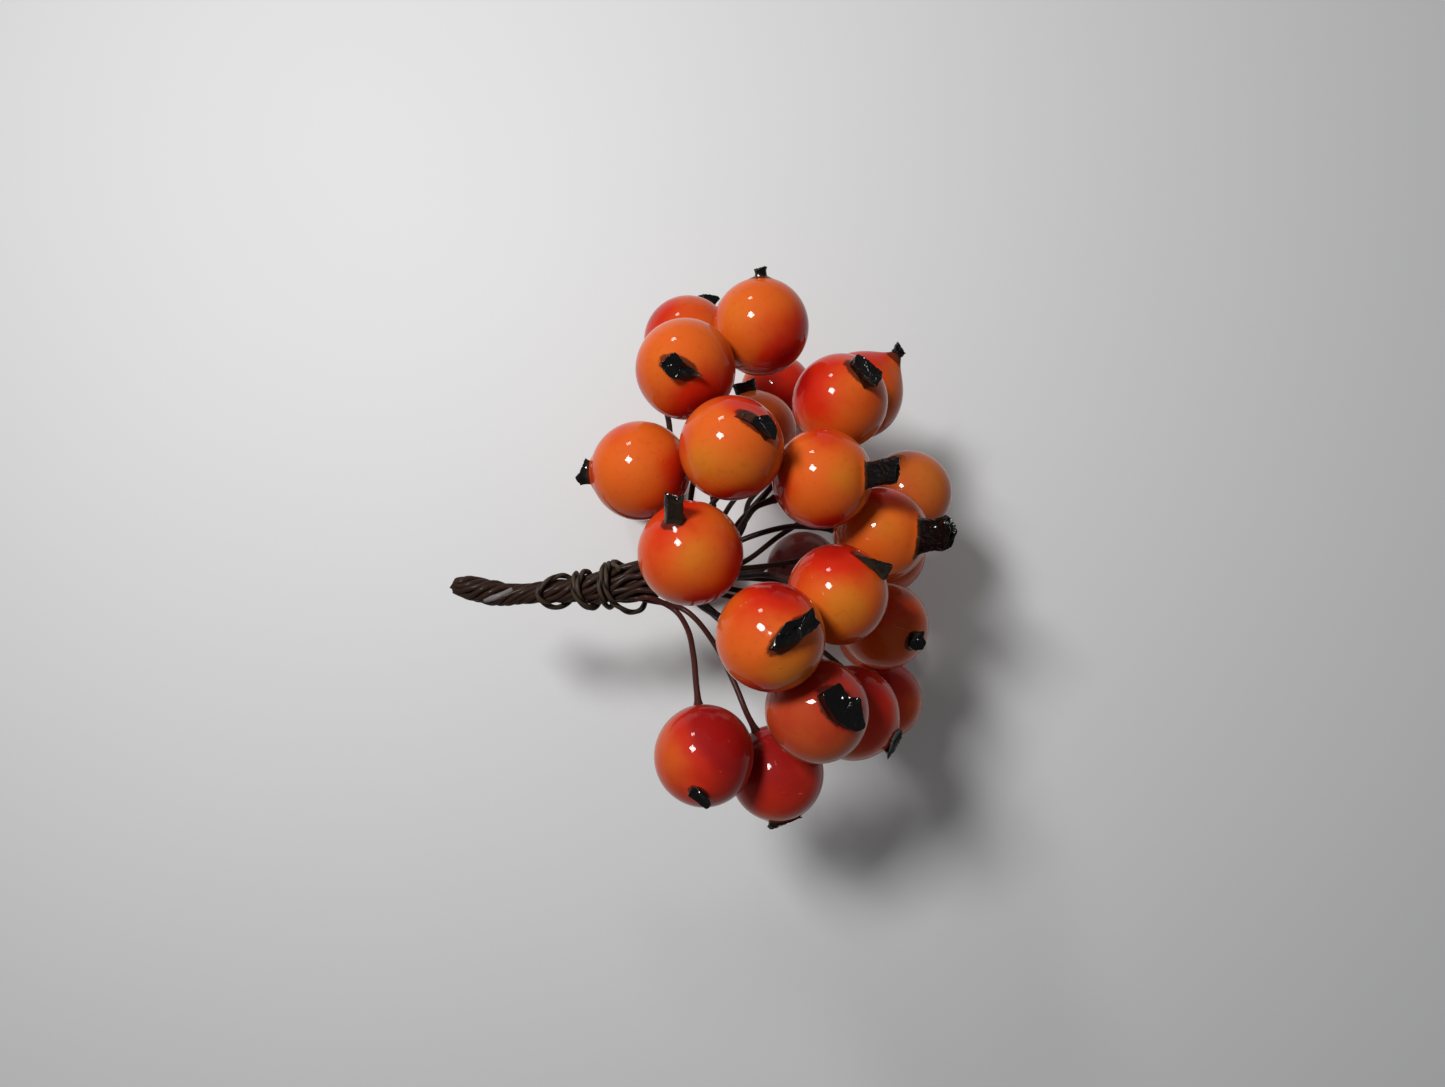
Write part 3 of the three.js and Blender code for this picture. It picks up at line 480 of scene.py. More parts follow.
class StageSettings(bpy.types.PropertyGroup):
    floor: bpy.props.FloatVectorProperty(
        name="Floor", description="Colour of the floor", subtype="COLOR",
        default=(0.7, 0.7, 0.7), min=0, max=1)
    key: bpy.props.FloatProperty(
        name="Key light", description="Radiance of the near soft box", default=76, min=0)
    window: bpy.props.FloatProperty(
        name="Window light", description="Radiance of the low window light", default=34, min=0)
    air: bpy.props.FloatProperty(
        name="Room light", description="Strength of the even light from all round",
        default=0.155, min=0)


# Shader nodes


class Reading:
    """A number in a shader. Python's operators on it add Math nodes."""

    def __init__(self, finish, socket):
        self.finish = finish
        self.socket = socket

    def _math(self, operation, first, second):
        return self.finish.node("Math", {"operation": operation}, {0: first, 1: second})

    def __add__(self, other):
        return self._math("ADD", self, other)

    __radd__ = __add__

    def __sub__(self, other):
        return self._math("SUBTRACT", self, other)

    def __rsub__(self, other):
        return self._math("SUBTRACT", other, self)

    def __mul__(self, other):
        return self._math("MULTIPLY", self, other)

    __rmul__ = __mul__

    def sine(self):
        return self._math("SINE", self, 0.0)

    def step(self, low, high):
        """0 below low, 1 above high, and a smooth rise between, or a fall if high is lower."""
        ends = (0.0, 1.0) if high > low else (1.0, 0.0)
        return self.finish.node(
            "MapRange", {"interpolation_type": "SMOOTHSTEP"},
            {"Value": self, "From Min": min(low, high), "From Max": max(low, high),
             "To Min": ends[0], "To Max": ends[1]})


class Finish:
    """The node tree of one material, round a Principled shader whose constants are given here."""

    def __init__(self, name, constants):
        self.material = bpy.data.materials.new(name)
        self.material.use_nodes = True
        self.tree = self.material.node_tree
        self.tree.nodes.clear()
        self.shader = self.tree.nodes.new("ShaderNodeBsdfPrincipled")
        output = self.tree.nodes.new("ShaderNodeOutputMaterial")
        self.tree.links.new(self.shader.outputs[0], output.inputs[0])
        for socket, value in constants.items():
            self.shader.inputs[socket].default_value = value

    def node(self, kind, settings, inputs, output=0):
        """Adds a node of that kind, sets its settings, then gives its sockets values or links."""
        made = self.tree.nodes.new("ShaderNode" + kind)
        for key, value in settings.items():
            setattr(made, key, value)
        for key, value in inputs.items():
            self.give(made.inputs[key], value)
        return Reading(self, made.outputs[output])

    def give(self, socket, value):
        """Links a reading to a socket, or sets the socket's own value."""
        if isinstance(value, Reading):
            self.tree.links.new(value.socket, socket)
        elif hasattr(socket.default_value, "__len__") and len(value) < len(socket.default_value):
            socket.default_value = (*value, 1.0)
        else:
            socket.default_value = value

    def place(self):
        return self.node("TexCoord", {}, {}, "Object")

    def attribute(self, name, output="Fac"):
        return self.node("Attribute", {"attribute_name": name}, {}, output)

    def mix(self, share, first, second):
        """Colour from first to second by share."""
        settings = {"data_type": "RGBA", "clamp_factor": True}
        return self.node("Mix", settings, {0: share, 6: first, 7: second}, 2)

    def noise(self, where, scale, detail=2.0, roughness=0.5):
        return self.node("TexNoise", {}, {
            "Vector": where, "Scale": scale, "Detail": detail, "Roughness": roughness})

    def stretched(self, where, scale):
        return self.node("VectorMath", {"operation": "MULTIPLY"}, {0: where, 1: scale})

    def shifted(self, where, offset):
        return self.node("VectorMath", {"operation": "ADD"}, {0: where, 1: offset})

    def bump(self, height, depth):
        """Normal from a height of 0 to 1 that stands for depth, in metres."""
        return self.node("Bump", {}, {"Strength": 1.0, "Distance": depth, "Height": height})


def dots(finish, where, scale, size, share):
    """Round dots: 1 at the middle of a share of the cells of a Voronoi pattern, 0 past size."""
    cells = {"Vector": where, "Scale": scale}
    away = finish.node("TexVoronoi", {"feature": "F1"}, cells, "Distance")
    lot = finish.node("TexVoronoi", {"feature": "F1"}, cells, "Color")
    drawn = finish.node("SeparateColor", {}, {0: lot}, 0)
    return away.step(size, 0.3 * size) * drawn.step(1 - share, 1.02 - share)


def lacquer_finish(settings):
    """Orange paint with yellow and red patches, staining and specks under a clear coat; the red
    patches, the staining and a brown glaze also paint shade, and one yellow patch paints light.
    """
    finish = Finish("berry_lacquer", {
        "Roughness": 0.6, "Specular IOR Level": 0.06, "Coat Weight": 1.0, "Coat IOR": 1.25,
        "Coat Roughness": settings.coat_roughness})
    where = finish.place()
    cloud = finish.noise(where, 190.0, 3.0)
    grain = finish.noise(where, 1100.0, 3.0, 0.6)
    # red and crimson: blush round the stem end and in patches, and painted shade on the limbs, the
    # lower sides and berries in shade
    blush = finish.attribute("blush") + (cloud - 0.5) * 0.8
    # yellow: thinner paint, and on berry 13 painted light where berry 11 shades it
    warm = finish.attribute("glow") * (0.4 + cloud * 1.1)
    colour = finish.mix(warm.step(0.15, 0.9), tuple(settings.orange), tuple(settings.yellow))
    colour = finish.mix(blush.step(0.12, 0.75), colour, tuple(settings.red))
    colour = finish.mix(blush.step(0.7, 1.25), colour, tuple(settings.crimson))
    colour = finish.mix((grain - 0.5).step(0.02, 0.3) * 0.2, colour, FLECK)
    # painted shade: a brown glaze that darkens the berries that lie in shade
    colour = finish.mix(finish.attribute("umber"), colour, PAINTED_SHADE_BROWN)
    # dark round the tuft's foot: real staining, and painted shade in the crease where the tuft
    # meets the ball
    stain_and_shade = finish.attribute("tipward") + (grain - 0.5) * 0.5 + (cloud - 0.5) * 0.3
    colour = finish.mix(stain_and_shade.step(1.16, 0.94) * 0.85, colour, STAIN_AND_SHADE)
    speck = dots(finish, where, 430.0, 0.035, 0.2)
    colour = finish.mix(speck * 0.6, colour, SPECK)
    hairline = finish.attribute("hairline", "Vector")
    beside, along = (finish.node("SeparateXYZ", {}, {0: hairline}, k) for k in (0, 1))
    scratch = beside.step(0.07, 0.02) * along.step(1.05, 0.8)
    colour = finish.mix(scratch * 0.45, colour, SCRATCH)
    finish.give(finish.shader.inputs["Base Color"], colour)
    ripple = finish.noise(where, 150.0, 1.0)
    nib = dots(finish, finish.shifted(where, (0.37, 0.37, 0.37)), 380.0, 0.075, 0.35)
    height = ripple * 0.25 + grain * 0.02 + nib * 0.5 - scratch * 0.08
    finish.give(finish.shader.inputs["Normal"], finish.bump(height, 0.00006))
    return finish.material


def crepe_finish(settings):
    """Black lacquered crepe, browner near the root and on its thin edges."""
    finish = Finish("tuft_crepe", {
        "Specular IOR Level": 0.04, "Coat Weight": 0.75, "Coat Roughness": 0.085, "Coat IOR": 1.4})
    where = finish.place()
    cloud = finish.noise(where, 600.0, 3.0)
    fold = finish.noise(where, 1500.0, 4.0, 0.65)
    brown = finish.attribute("thin") + (cloud - 0.5) * 0.7
    colour = finish.mix(brown.step(0.3, 1.0), tuple(settings.black), tuple(settings.brown))
    film = finish.attribute("film") + (cloud - 0.5) * 0.5
    colour = finish.mix(film.step(0.3, 0.9), colour, tuple(settings.film))
    finish.give(finish.shader.inputs["Base Color"], colour)
    finish.give(finish.shader.inputs["Roughness"], 0.32 + fold * 0.3)
    finish.give(finish.shader.inputs["Normal"], finish.bump(fold + cloud * 0.6, 0.00008))
    return finish.material


def cover_finish(settings):
    """Paper-covered wire: a wound cover with lengthwise streaks, rubbed paler in the handle."""
    finish = Finish("stem_cover", {
        "Specular IOR Level": 0.05, "Coat Weight": 0.1, "Coat Roughness": 0.2})
    where = finish.place()
    sheath = finish.attribute("sheath", "Vector")
    along = finish.node("SeparateXYZ", {}, {0: sheath}, 2)
    wound = finish.noise(finish.stretched(sheath, (1.2, 1.2, 0.25)), 1.0, 3.0, 0.6)
    streak = finish.noise(finish.stretched(sheath, (2.0, 2.0, 0.35)), 2.2, 4.0, 0.7)
    cloud = finish.noise(where, 420.0, 4.0, 0.6)
    worn = finish.attribute("worn") + (streak - 0.5) * 0.9 + (cloud - 0.5) * 0.7
    colour = finish.mix(worn.step(0.25, 1.15), tuple(settings.cover), tuple(settings.worn))
    russet = finish.attribute("russet") + (streak - 0.5) * 0.6
    colour = finish.mix(russet.step(0.2, 0.8), colour, tuple(settings.russet))
    pale = finish.attribute("pale")
    colour = finish.mix(pale.step(0.4, 0.6) * 0.9, colour, RUBBED_THROUGH)
    finish.give(finish.shader.inputs["Base Color"], colour)
    finish.give(finish.shader.inputs["Roughness"], 0.3 + streak * 0.3)
    ring = (along * 7.0 + wound * 5.0).sine()
    height = streak * 0.8 + ring * 0.12 + cloud * 0.5
    finish.give(finish.shader.inputs["Normal"], finish.bump(height, 0.00009))
    return finish.material


def wire_finish(settings):
    """Khaki cover of the binding wire, with painted shade in the gaps between its plies."""
    finish = Finish("wire_cover", {
        "Specular IOR Level": 0.08, "Coat Weight": 0.1, "Coat Roughness": 0.3})
    where = finish.place()
    sheath = finish.attribute("sheath", "Vector")
    streak = finish.noise(finish.stretched(sheath, (1.6, 1.6, 0.6)), 2.0, 4.0, 0.7)
    cloud = finish.noise(where, 500.0, 3.0, 0.6)
    ply = finish.attribute("ply") + (streak - 0.5) * 0.6
    # painted shade: dark in the grooves between the plies
    colour = finish.mix(ply.step(0.1, 0.55), SHADE_BETWEEN_PLIES, tuple(settings.khaki))
    colour = finish.mix((cloud - 0.5).step(0.0, 0.35) * 0.5, colour, DRY_FIBRE)
    finish.give(finish.shader.inputs["Base Color"], colour)
    finish.give(finish.shader.inputs["Roughness"], 0.4 + streak * 0.3)
    finish.give(finish.shader.inputs["Normal"], finish.bump(streak + cloud * 0.5, 0.00008))
    return finish.material


def floor_finish(settings):
    """Pale paper, very slightly clouded."""
    finish = Finish("floor_paper", {"Roughness": 0.6, "Specular IOR Level": 0.3})
    cloud = finish.noise(finish.place(), 30.0, 2.0)
    shade = tuple(0.985 * c for c in settings.floor)
    finish.give(finish.shader.inputs["Base Color"], finish.mix(cloud, tuple(settings.floor), shade))
    return finish.material


# Shapes


def unit(direction):
    direction = np.asarray(direction, float)
    return direction / np.linalg.norm(direction, axis=-1, keepdims=True)


def smoothstep(low, high, x):
    t = np.clip((x - low) / (high - low), 0, 1)
    return t * t * (3 - 2 * t)


def shell_faces(rows, sides):
    """Faces of a closed form: rings of points round an axis, and a pole at each end.

    Point 0 is the first pole, then come the rings in order, then the last pole."""
    ring = np.arange(rows)[:, None] * sides + 1
    here = ring[:-1] + np.arange(sides)[None, :]
    beside = ring[:-1] + (np.arange(sides)[None, :] + 1) % sides
    quads = np.stack([here, here + sides, beside + sides, beside], axis=-1).reshape(-1, 4)
    first = 1 + np.arange(sides)
    after = 1 + (np.arange(sides) + 1) % sides
    top = np.stack([np.zeros(sides, int), first, after], axis=-1)
    shift = (rows - 1) * sides
    pole = np.full(sides, 1 + rows * sides)
    bottom = np.stack([pole, after + shift, first + shift], axis=-1)
    return quads, np.concatenate([top, bottom])


def make_piece(name, shells, material):
    """A piece from closed shells, each a list of points, its faces and its point attributes."""
    points, faces, values, start = [], [], {}, 0
    for shell_points, (quads, tris), attributes in shells:
        points.append(shell_points)
        faces.extend((quads + start).tolist())
        faces.extend((tris + start).tolist())
        start += len(shell_points)
        for key, value in attributes.items():
            values.setdefault(key, []).append(value)
    mesh = bpy.data.meshes.new(name)
    placed = (np.concatenate(points) + DRAWN_AT) * MM
    mesh.from_pydata(placed.tolist(), [], faces)
    mesh.polygons.foreach_set("use_smooth", np.ones(len(mesh.polygons), bool))
    for key, parts in values.items():
        value = np.concatenate(parts).astype(np.float32)
        kind = "FLOAT_VECTOR" if value.ndim == 2 else "FLOAT"
        made = mesh.attributes.new(key, kind, "POINT")
        made.data.foreach_set("vector" if value.ndim == 2 else "value", value.ravel())
    mesh.materials.append(material)
    mesh.update()
    piece = bpy.data.objects.new(name, mesh)
    bpy.context.scene.collection.objects.link(piece)
    return piece


def hand_over(piece, nodes):
    """Sets what the piece rides on, and hides the solids that it stands for."""
    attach(piece, "root")
    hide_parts(*nodes)


def axes_round(direction):
    """Two unit vectors square to a direction and to each other."""
    direction = unit(direction)
    helper = np.array([0.0, 0.0, 1.0]) if abs(direction[2]) < 0.9 else np.array([1.0, 0.0, 0.0])
    first = unit(np.cross(helper, direction))
    return first, np.cross(direction, first)


def entry_of(spec):
    return unit(spec["entry"]) if "entry" in spec else -unit(spec["tip"])


def patches(facing, spots):
    """Sum of soft round patches: strength x exp(-(angle / half angle) squared), at each facing."""
    total = np.zeros(len(facing))
    for x, y, z, half_angle, strength in spots:
        angle = np.degrees(np.arccos(np.clip(facing @ unit((x, y, z)), -1, 1)))
        total += strength * np.exp(-((angle / half_angle) ** 2))
    return total


def hairline_of(facing, ends):
    """How far, in mm, each point is from a line across the ball, and how far along it.

    The way along is 1 at the ends of the line."""
    if ends is None:
        return np.tile([FAR_OFF, FAR_OFF, 0.0], (len(facing), 1))
    first, last = unit(ends[0]), unit(ends[1])
    across = unit(np.cross(first, last))
    middle = unit(first + last)
    way = np.cross(across, middle)
    half = math.acos(float(np.clip(first @ middle, -1, 1)))
    along = np.arctan2(facing @ way, facing @ middle) / half
    return np.stack([np.abs(facing @ across) * BERRY_RADIUS, np.abs(along), 0 * along], axis=-1)


def from_foot(spec, facing):
    """Distance of each point from the middle of its tuft's foot, as a share of the foot's reach.

    The foot counts as an ellipse there, and the far side of the ball is far off."""
    _, _, foot = tuft_foot(spec, 48)
    low, high = foot.min(0), foot.max(0)
    across, through, up = (BERRY_RADIUS * facing @ tuft_axes(spec).T).T
    middle, reach = (high + low) / 2, (high - low) / 2 + 0.05
    share = np.hypot((across - middle[0]) / reach[0], (through - middle[1]) / reach[1])
    return np.where(up > 0, share, FAR_OFF)


def ball_shell(spec, seed, unevenness, rows=72, sides=96):
    """Surface of a ball over two angles: polar from its tip, and round it.

    Its radius is 6 mm, less a few sines of the direction, plus a mound of lacquer round the foot of
    the tuft, exp(-(distance / 1.2)^3), on some a cone drawn out to it, exp(-distance / 2.1), and a
    collar round the stem hole, exp(-(angle / reach)^1.6). It is cut off at the table."""
    draw = np.random.default_rng(seed)
    share = (np.arange(rows) + 1) / (rows + 1)
    polar = np.pi * (share - 0.08 * np.sin(2 * np.pi * share))
    turn = 2 * np.pi * np.arange(sides) / sides
    tip = unit(spec["tip"])
    first, second = axes_round(tip)
    rings = (np.cos(polar)[:, None, None] * tip
             + np.sin(polar)[:, None, None]
             * (np.cos(turn)[None, :, None] * first + np.sin(turn)[None, :, None] * second))
    facing = np.concatenate([tip[None], rings.reshape(-1, 3), -tip[None]])
    waves = draw.normal(size=(5, 3)) * 2.2
    lump = np.sin(facing @ waves.T + draw.uniform(0, 6.28, 5)).mean(1) - 0.5
    from_stem = np.arccos(np.clip(facing @ entry_of(spec), -1, 1))
    near_tuft = from_foot(spec, facing)
    mound = LACQUER_MOUND * np.exp(-(near_tuft / 1.2) ** 3)
    mound += spec.get("drawn", 0) * np.exp(-near_tuft / 2.1)
    collar = COLLAR_HEIGHT * np.exp(-((from_stem / COLLAR_REACH) ** 1.6))
    radius = BERRY_RADIUS + lump * unevenness + mound + collar
    points = np.array(spec["at"]) + facing * radius[:, None]
    points[:, 2] = np.maximum(points[:, 2], 0)
    attributes = {
        "blush": patches(facing, spec["red"]) + 0.6 * np.exp(-((from_stem / 0.5) ** 2)),
        "glow": patches(facing, spec.get("yellow", ())),
        "tipward": near_tuft / spec.get("stain_shade_reach", 1),
        "umber": np.full(len(points), float(spec.get("umber", 0))),
        "hairline": hairline_of(facing, spec.get("hairline")),
    }
    return points, shell_faces(rows, sides), attributes


def tuft_rim(spec, sides):
    """The upper end of a tuft, as that many points of a closed curve through its corners.

    The curve is half way between the straight sides of the polygon and a Catmull-Rom curve. The
    corners of a hidden tuft are on an ellipse, higher at its ends."""
    if "rim" in spec:
        corners = np.array(spec["rim"], float)
    else:
        wide, thick, tall = spec["size"]
        angle = np.pi / 4 * np.arange(8)
        x, y = np.cos(angle), np.sin(angle)
        corners = np.stack([x * wide / 2, y * thick / 2, tall * (0.87 + 0.13 * x * x)], axis=-1)
    place = np.arange(sides) * len(corners) / sides
    corner = place.astype(int)
    t = (place - corner)[:, None]
    p0, p1, p2, p3 = (corners[(corner + k) % len(corners)] for k in (-1, 0, 1, 2))
    straight = p1 + (p2 - p1) * t
    curved = 0.5 * (2 * p1 + (p2 - p0) * t + (2 * p0 - 5 * p1 + 4 * p2 - p3) * t ** 2
                    + (3 * p1 - p0 - 3 * p2 + p3) * t ** 3)
    return (straight + curved) / 2, corners.mean(0)


def tuft_axes(spec):
    """Unit vectors across, through and up the tuft of a berry, as the rows of a matrix."""
    up = unit(spec["tip"])
    angle = math.radians(spec["lie"])
    across = np.array([math.cos(angle), math.sin(angle), 0.0])
    across = unit(across - (across @ up) * up)
    return np.stack([across, np.cross(up, across), up])


def tuft_foot(spec, sides):
    """The curve in which a tuft meets its ball: its rim, a little narrower and nearer the tip."""
    rim, middle = tuft_rim(spec, sides)
    foot = middle[:2] * 0.1 + (rim[:, :2] - middle[:2]) * spec.get("foot", TUFT_FOOT)
    return rim, middle, foot


def tuft_shell(spec, seed, crumple, sides=96):
    """Surface of a folded strap of crepe: up its side and in across its end, and round it.

    A thin root widens inside the ball to the foot, a closed curve on the ball. Straight lines join
    that to the ragged rim, drawn in by waist x sin(pi x share of the way up). The end dips to its
    middle. Ribs, sines of the turn, run up the side. Creases are the sum of ridges
    |sin(way . place)| at three scales, of a place that is first warped by sines of itself."""
    draw = np.random.default_rng(seed)
    turn = 2 * np.pi * np.arange(sides) / sides
    rim, middle, foot = tuft_foot(spec, sides)
    outward = rim[:, :2] - middle[:2]
    ragged = sum(np.sin(k * turn + draw.uniform(0, 6.28)) for k in (11, 17, 23)) / 3
    rim = rim + np.stack([0 * turn, 0 * turn, RAGGED_EDGE * ragged], axis=-1)
    on_ball = np.sqrt(BERRY_RADIUS ** 2 - (foot ** 2).sum(1)) - BERRY_RADIUS - TUFT_SUNK
    foot = np.concatenate([foot, on_ball[:, None]], axis=-1)
    up = np.linspace(0, 1, 30)[:, None, None]
    ribs = np.sin(24 * turn + 2 * np.sin(3 * turn))[:, None]
    drawn_in = spec.get("waist", TUFT_WAIST) * np.sin(np.pi * up) + RIB_DEPTH * up * ribs
    side = foot + (rim - foot) * up
    side[..., :2] -= outward * drawn_in
    circle = TUFT_ROOT_RADIUS * np.stack([np.cos(turn), np.sin(turn)], axis=-1)
    neck = np.stack([np.column_stack([circle, 0 * turn - depth])
                     for depth in (TUFT_ROOT_DEPTH, TUFT_NECK_DEPTH)])
    inward = np.linspace(0.96, 0.05, 20)[:, None, None]
    dip = middle - np.array([0, 0, TUFT_DENT * max(middle[2], 0)])
    end = dip + (rim - dip) * inward
    end[..., 2] = dip[2] + (rim[:, 2] - dip[2]) * inward[..., 0] ** 0.7
    rings = np.concatenate([neck, side, end])
    root = np.array([[0, 0, -TUFT_ROOT_DEPTH]])
    local = np.concatenate([root, rings.reshape(-1, 3), rings[-1].mean(0)[None]])
    height = local[:, 2] - (np.sqrt(BERRY_RADIUS ** 2 - (local[:, :2] ** 2).sum(1)) - BERRY_RADIUS)
    grown = smoothstep(0.0, 0.9, height)[:, None]
    bent = local + 0.3 * np.sin(local[:, [1, 2, 0]] * 2.7 + draw.uniform(0, 6.28, 3))
    for wave in (1.0, 0.5, 0.25):
        way = draw.normal(size=(3, 3)) * (1.6 / wave)
        ridge = np.abs(np.sin(bent @ way + draw.uniform(0, 6.28, 3))) - 0.6
        local = local + ridge * grown * wave * crumple
    axes = tuft_axes(spec)
    points = np.array(spec["at"]) + axes[2] * BERRY_RADIUS + local @ axes
    flatten_creases(points, spec)
    points[:, 2] = np.maximum(points[:, 2], 0.02)
    film = smoothstep(*spec.get("film", (FAR_OFF, FAR_OFF + 1)), local[:, 0])
    thin = (1 - smoothstep(0.1, 0.8, height)) * 0.8 + spec.get("brown", 0)
    return points, shell_faces(len(rings), sides), {"thin": thin, "film": film}


def flatten_creases(points, spec):
    """Turns small round spots of a tuft so that they mirror the key light up to the camera.

    The points round a spot's middle move in height, by a share of exp(-(distance / size)^4), on to
    the plane through it whose normal is half way between the ways to the light and the camera."""
    for x, y, size in spec.get("glints", ()):
        middle = np.array(spec["at"]) + (x, y, 0)
        away = points[:, :2] - middle[:2]
        share = np.exp(-(np.hypot(away[:, 0], away[:, 1]) / size) ** 4)
        if not (share > 0.5).any():
            continue
        middle[2] = points[share > 0.5, 2].max()
        normal = unit(unit(KEY_AT - middle) + unit(CAMERA_AT - middle))
        plane = middle[2] - away @ normal[:2] / normal[2]
        share *= points[:, 2] > middle[2] - 2 * size
        points[:, 2] += (plane - points[:, 2]) * share


def smooth_path(points, a_span=8):
    """Centripetal Catmull-Rom curve through points.

    It is a cubic on each span, whose end slopes come from the neighbouring points, weighted by the
    square roots of their distances."""
    p = np.asarray(points, float)
    p = np.vstack([2 * p[0] - p[1], p, 2 * p[-1] - p[-2]])
    gap = np.sqrt(np.linalg.norm(np.diff(p, axis=0), axis=1))[:, None]
    g0, g1, g2 = gap[:-2], gap[1:-1], gap[2:]
    p0, p1, p2, p3 = p[:-3], p[1:-2], p[2:-1], p[3:]
    leaving = ((p1 - p0) / g0 - (p2 - p0) / (g0 + g1) + (p2 - p1) / g1) * g1
    arriving = ((p2 - p1) / g1 - (p3 - p1) / (g1 + g2) + (p3 - p2) / g2) * g1
    t = (np.arange(a_span) / a_span)[None, :, None]
    curve = ((2 * t ** 3 - 3 * t ** 2 + 1) * p1[:, None]
             + (t ** 3 - 2 * t ** 2 + t) * leaving[:, None]
             + (3 * t ** 2 - 2 * t ** 3) * p2[:, None]
             + (t ** 3 - t ** 2) * arriving[:, None])
    return np.vstack([curve.reshape(-1, 3), p[-2]])


def way_along(path):
    """Length of a path up to each of its points."""
    return np.concatenate([[0], np.cumsum(np.linalg.norm(np.diff(path, axis=0), axis=1))])


def evenly(path, step):
    """The same path with a point about every step."""
    along = way_along(path)
    marks = np.linspace(0, along[-1], max(int(along[-1] / step), 2) + 1)
    return np.stack([np.interp(marks, along, path[:, k]) for k in range(3)], axis=-1)


def tube_shell(path, radius, sides):
    """A round profile carried along a path, closed by a pole at each end.

    The profile doesn't turn about the path: its first axis is a fixed direction squared to the
    path, turned back by the sum of the angles that this axis turns by from point to point."""
    tangent = unit(np.gradient(path, axis=0))
    helper = np.array([0.31, 0.17, 0.93])
    side = unit(helper - (tangent @ helper)[:, None] * tangent)
    other = np.cross(tangent, side)
    before, after = tangent[:-1], tangent[1:]
    axis = np.cross(before, after)
    carried = (side[:-1] + np.cross(axis, side[:-1])
               + np.cross(axis, np.cross(axis, side[:-1])) / (1 + (before * after).sum(1))[:, None])
    slip = np.arctan2((carried * other[1:]).sum(1), (carried * side[1:]).sum(1))
    back = np.concatenate([[0], np.cumsum(slip)])[:, None]
    turn = 2 * np.pi * np.arange(sides)[None, :] / sides
    spoke = (np.cos(turn + back)[..., None] * side[:, None]
             + np.sin(turn + back)[..., None] * other[:, None])
    rings = path[:, None] + np.broadcast_to(radius, (len(path), sides))[..., None] * spoke
    points = np.concatenate([path[:1], rings.reshape(-1, 3), path[-1:]])
    along = way_along(path)
    columns = [np.broadcast_to(column, rings.shape[:2])
               for column in (np.cos(turn), np.sin(turn), along[:, None])]
    round_it = np.stack(columns, axis=-1).reshape(-1, 3)
    sheath = np.concatenate([[[0, 0, 0]], round_it, [[0, 0, along[-1]]]])
    quads, tris = shell_faces(len(path), sides)
    return points, (quads[:, ::-1], tris[:, ::-1]), {"sheath": sheath}


def on_tube(values, sides):
    """A value for each point of a path, as one for each point of its tube."""
    return np.concatenate([values[:1], np.repeat(values, sides), values[-1:]])


# Handle


def handle_at(x):
    """Middle and radius of the rope at x, from smooth curves through the listed stations."""
    table = np.array(HANDLE)
    line = smooth_path(table[:, :3], 12)
    girth = smooth_path(np.stack([table[:, 0], table[:, 3], 0 * table[:, 0]], axis=-1), 12)
    x = np.atleast_1d(np.asarray(x, float))
    middle = np.stack([x, *(np.interp(x, line[:, 0], line[:, k]) for k in (1, 2))], axis=-1)
    return middle, np.interp(x, girth[:, 0], girth[:, 1])


def twist_at(x):
    """Turn of the rope at x, in radians: the sum of its twist from there to the mouth."""
    marks = np.linspace(-37, MOUTH_X, 271)
    rate = np.interp(marks, [t[0] for t in TWIST], [t[1] for t in TWIST])
    total = np.concatenate([[0], np.cumsum((rate[1:] + rate[:-1]) / 2 * np.diff(marks))])
    return np.interp(x, marks, total[-1] - total)


def round_x(angle, reach):
    """Points round the X axis."""
    return np.stack([0 * angle, np.cos(angle), np.sin(angle)], axis=-1) * reach[:, None]


def mouth_slots():
    """Ring, place in the ring and angle of each stem in the handle's mouth.

    The stems that spread least take the inner ring, and each ring is filled evenly, in the order of
    the directions that its stems set off in."""
    middle = np.array([MOUTH_X, HANDLE[-1][1], HANDLE[-1][2]])
    way = {name: np.array(spec["route"][0]) - middle for name, spec in BERRIES.items()}
    waiting = sorted(BERRIES, key=lambda n: math.hypot(way[n][1], way[n][2]) / way[n][0])
    slots = {}
    for ring, (_, count) in enumerate(MOUTH_RINGS):
        chosen = sorted(waiting[:count], key=lambda n: math.atan2(way[n][2], way[n][1]))
        waiting = waiting[count:]
        for k, name in enumerate(chosen):
            slots[name] = (ring, k, 2 * math.pi * ((k + 0.5) / count - 0.5))
    return slots


def strand(ring, k, angle, radius):
    """The way of one stem in the rope, from the fold to the mouth, wandering by sines of x."""
    x = np.arange(FOLD_X, MOUTH_X - 0.5, 0.75)
    middle, girth = handle_at(x)
    room = girth - radius
    reach, count = MOUTH_RINGS[ring]
    mouth_share = reach / (HANDLE[-1][3] - radius)
    if ring == 2 and k in SUNK_STEMS:
        share = SUNK_SHARE + (mouth_share - SUNK_SHARE) * smoothstep(-23, -18, x)
        aim = angle
    elif ring == 2:
        order = k - sum(1 for s in SUNK_STEMS if s < k)
        narrow = 2 * math.pi * ((order + 0.5) / (count - len(SUNK_STEMS)) - 0.5)
        aim = narrow + (angle - narrow) * smoothstep(-24, -15, x)
        share = 1 + (mouth_share - 1) * smoothstep(-14, -10, x)
    else:
        aim = angle
        share = INNER_SHARES[ring] + (mouth_share - INNER_SHARES[ring]) * smoothstep(-20, -10, x)
    aim = aim + 0.13 * np.sin(1.1 * x + 2.4 * k + 1.7 * ring)
    share = share * (0.95 - 0.05 * np.sin(0.9 * x + 1.3 * k))
    return middle + round_x(aim + twist_at(x), share * room)


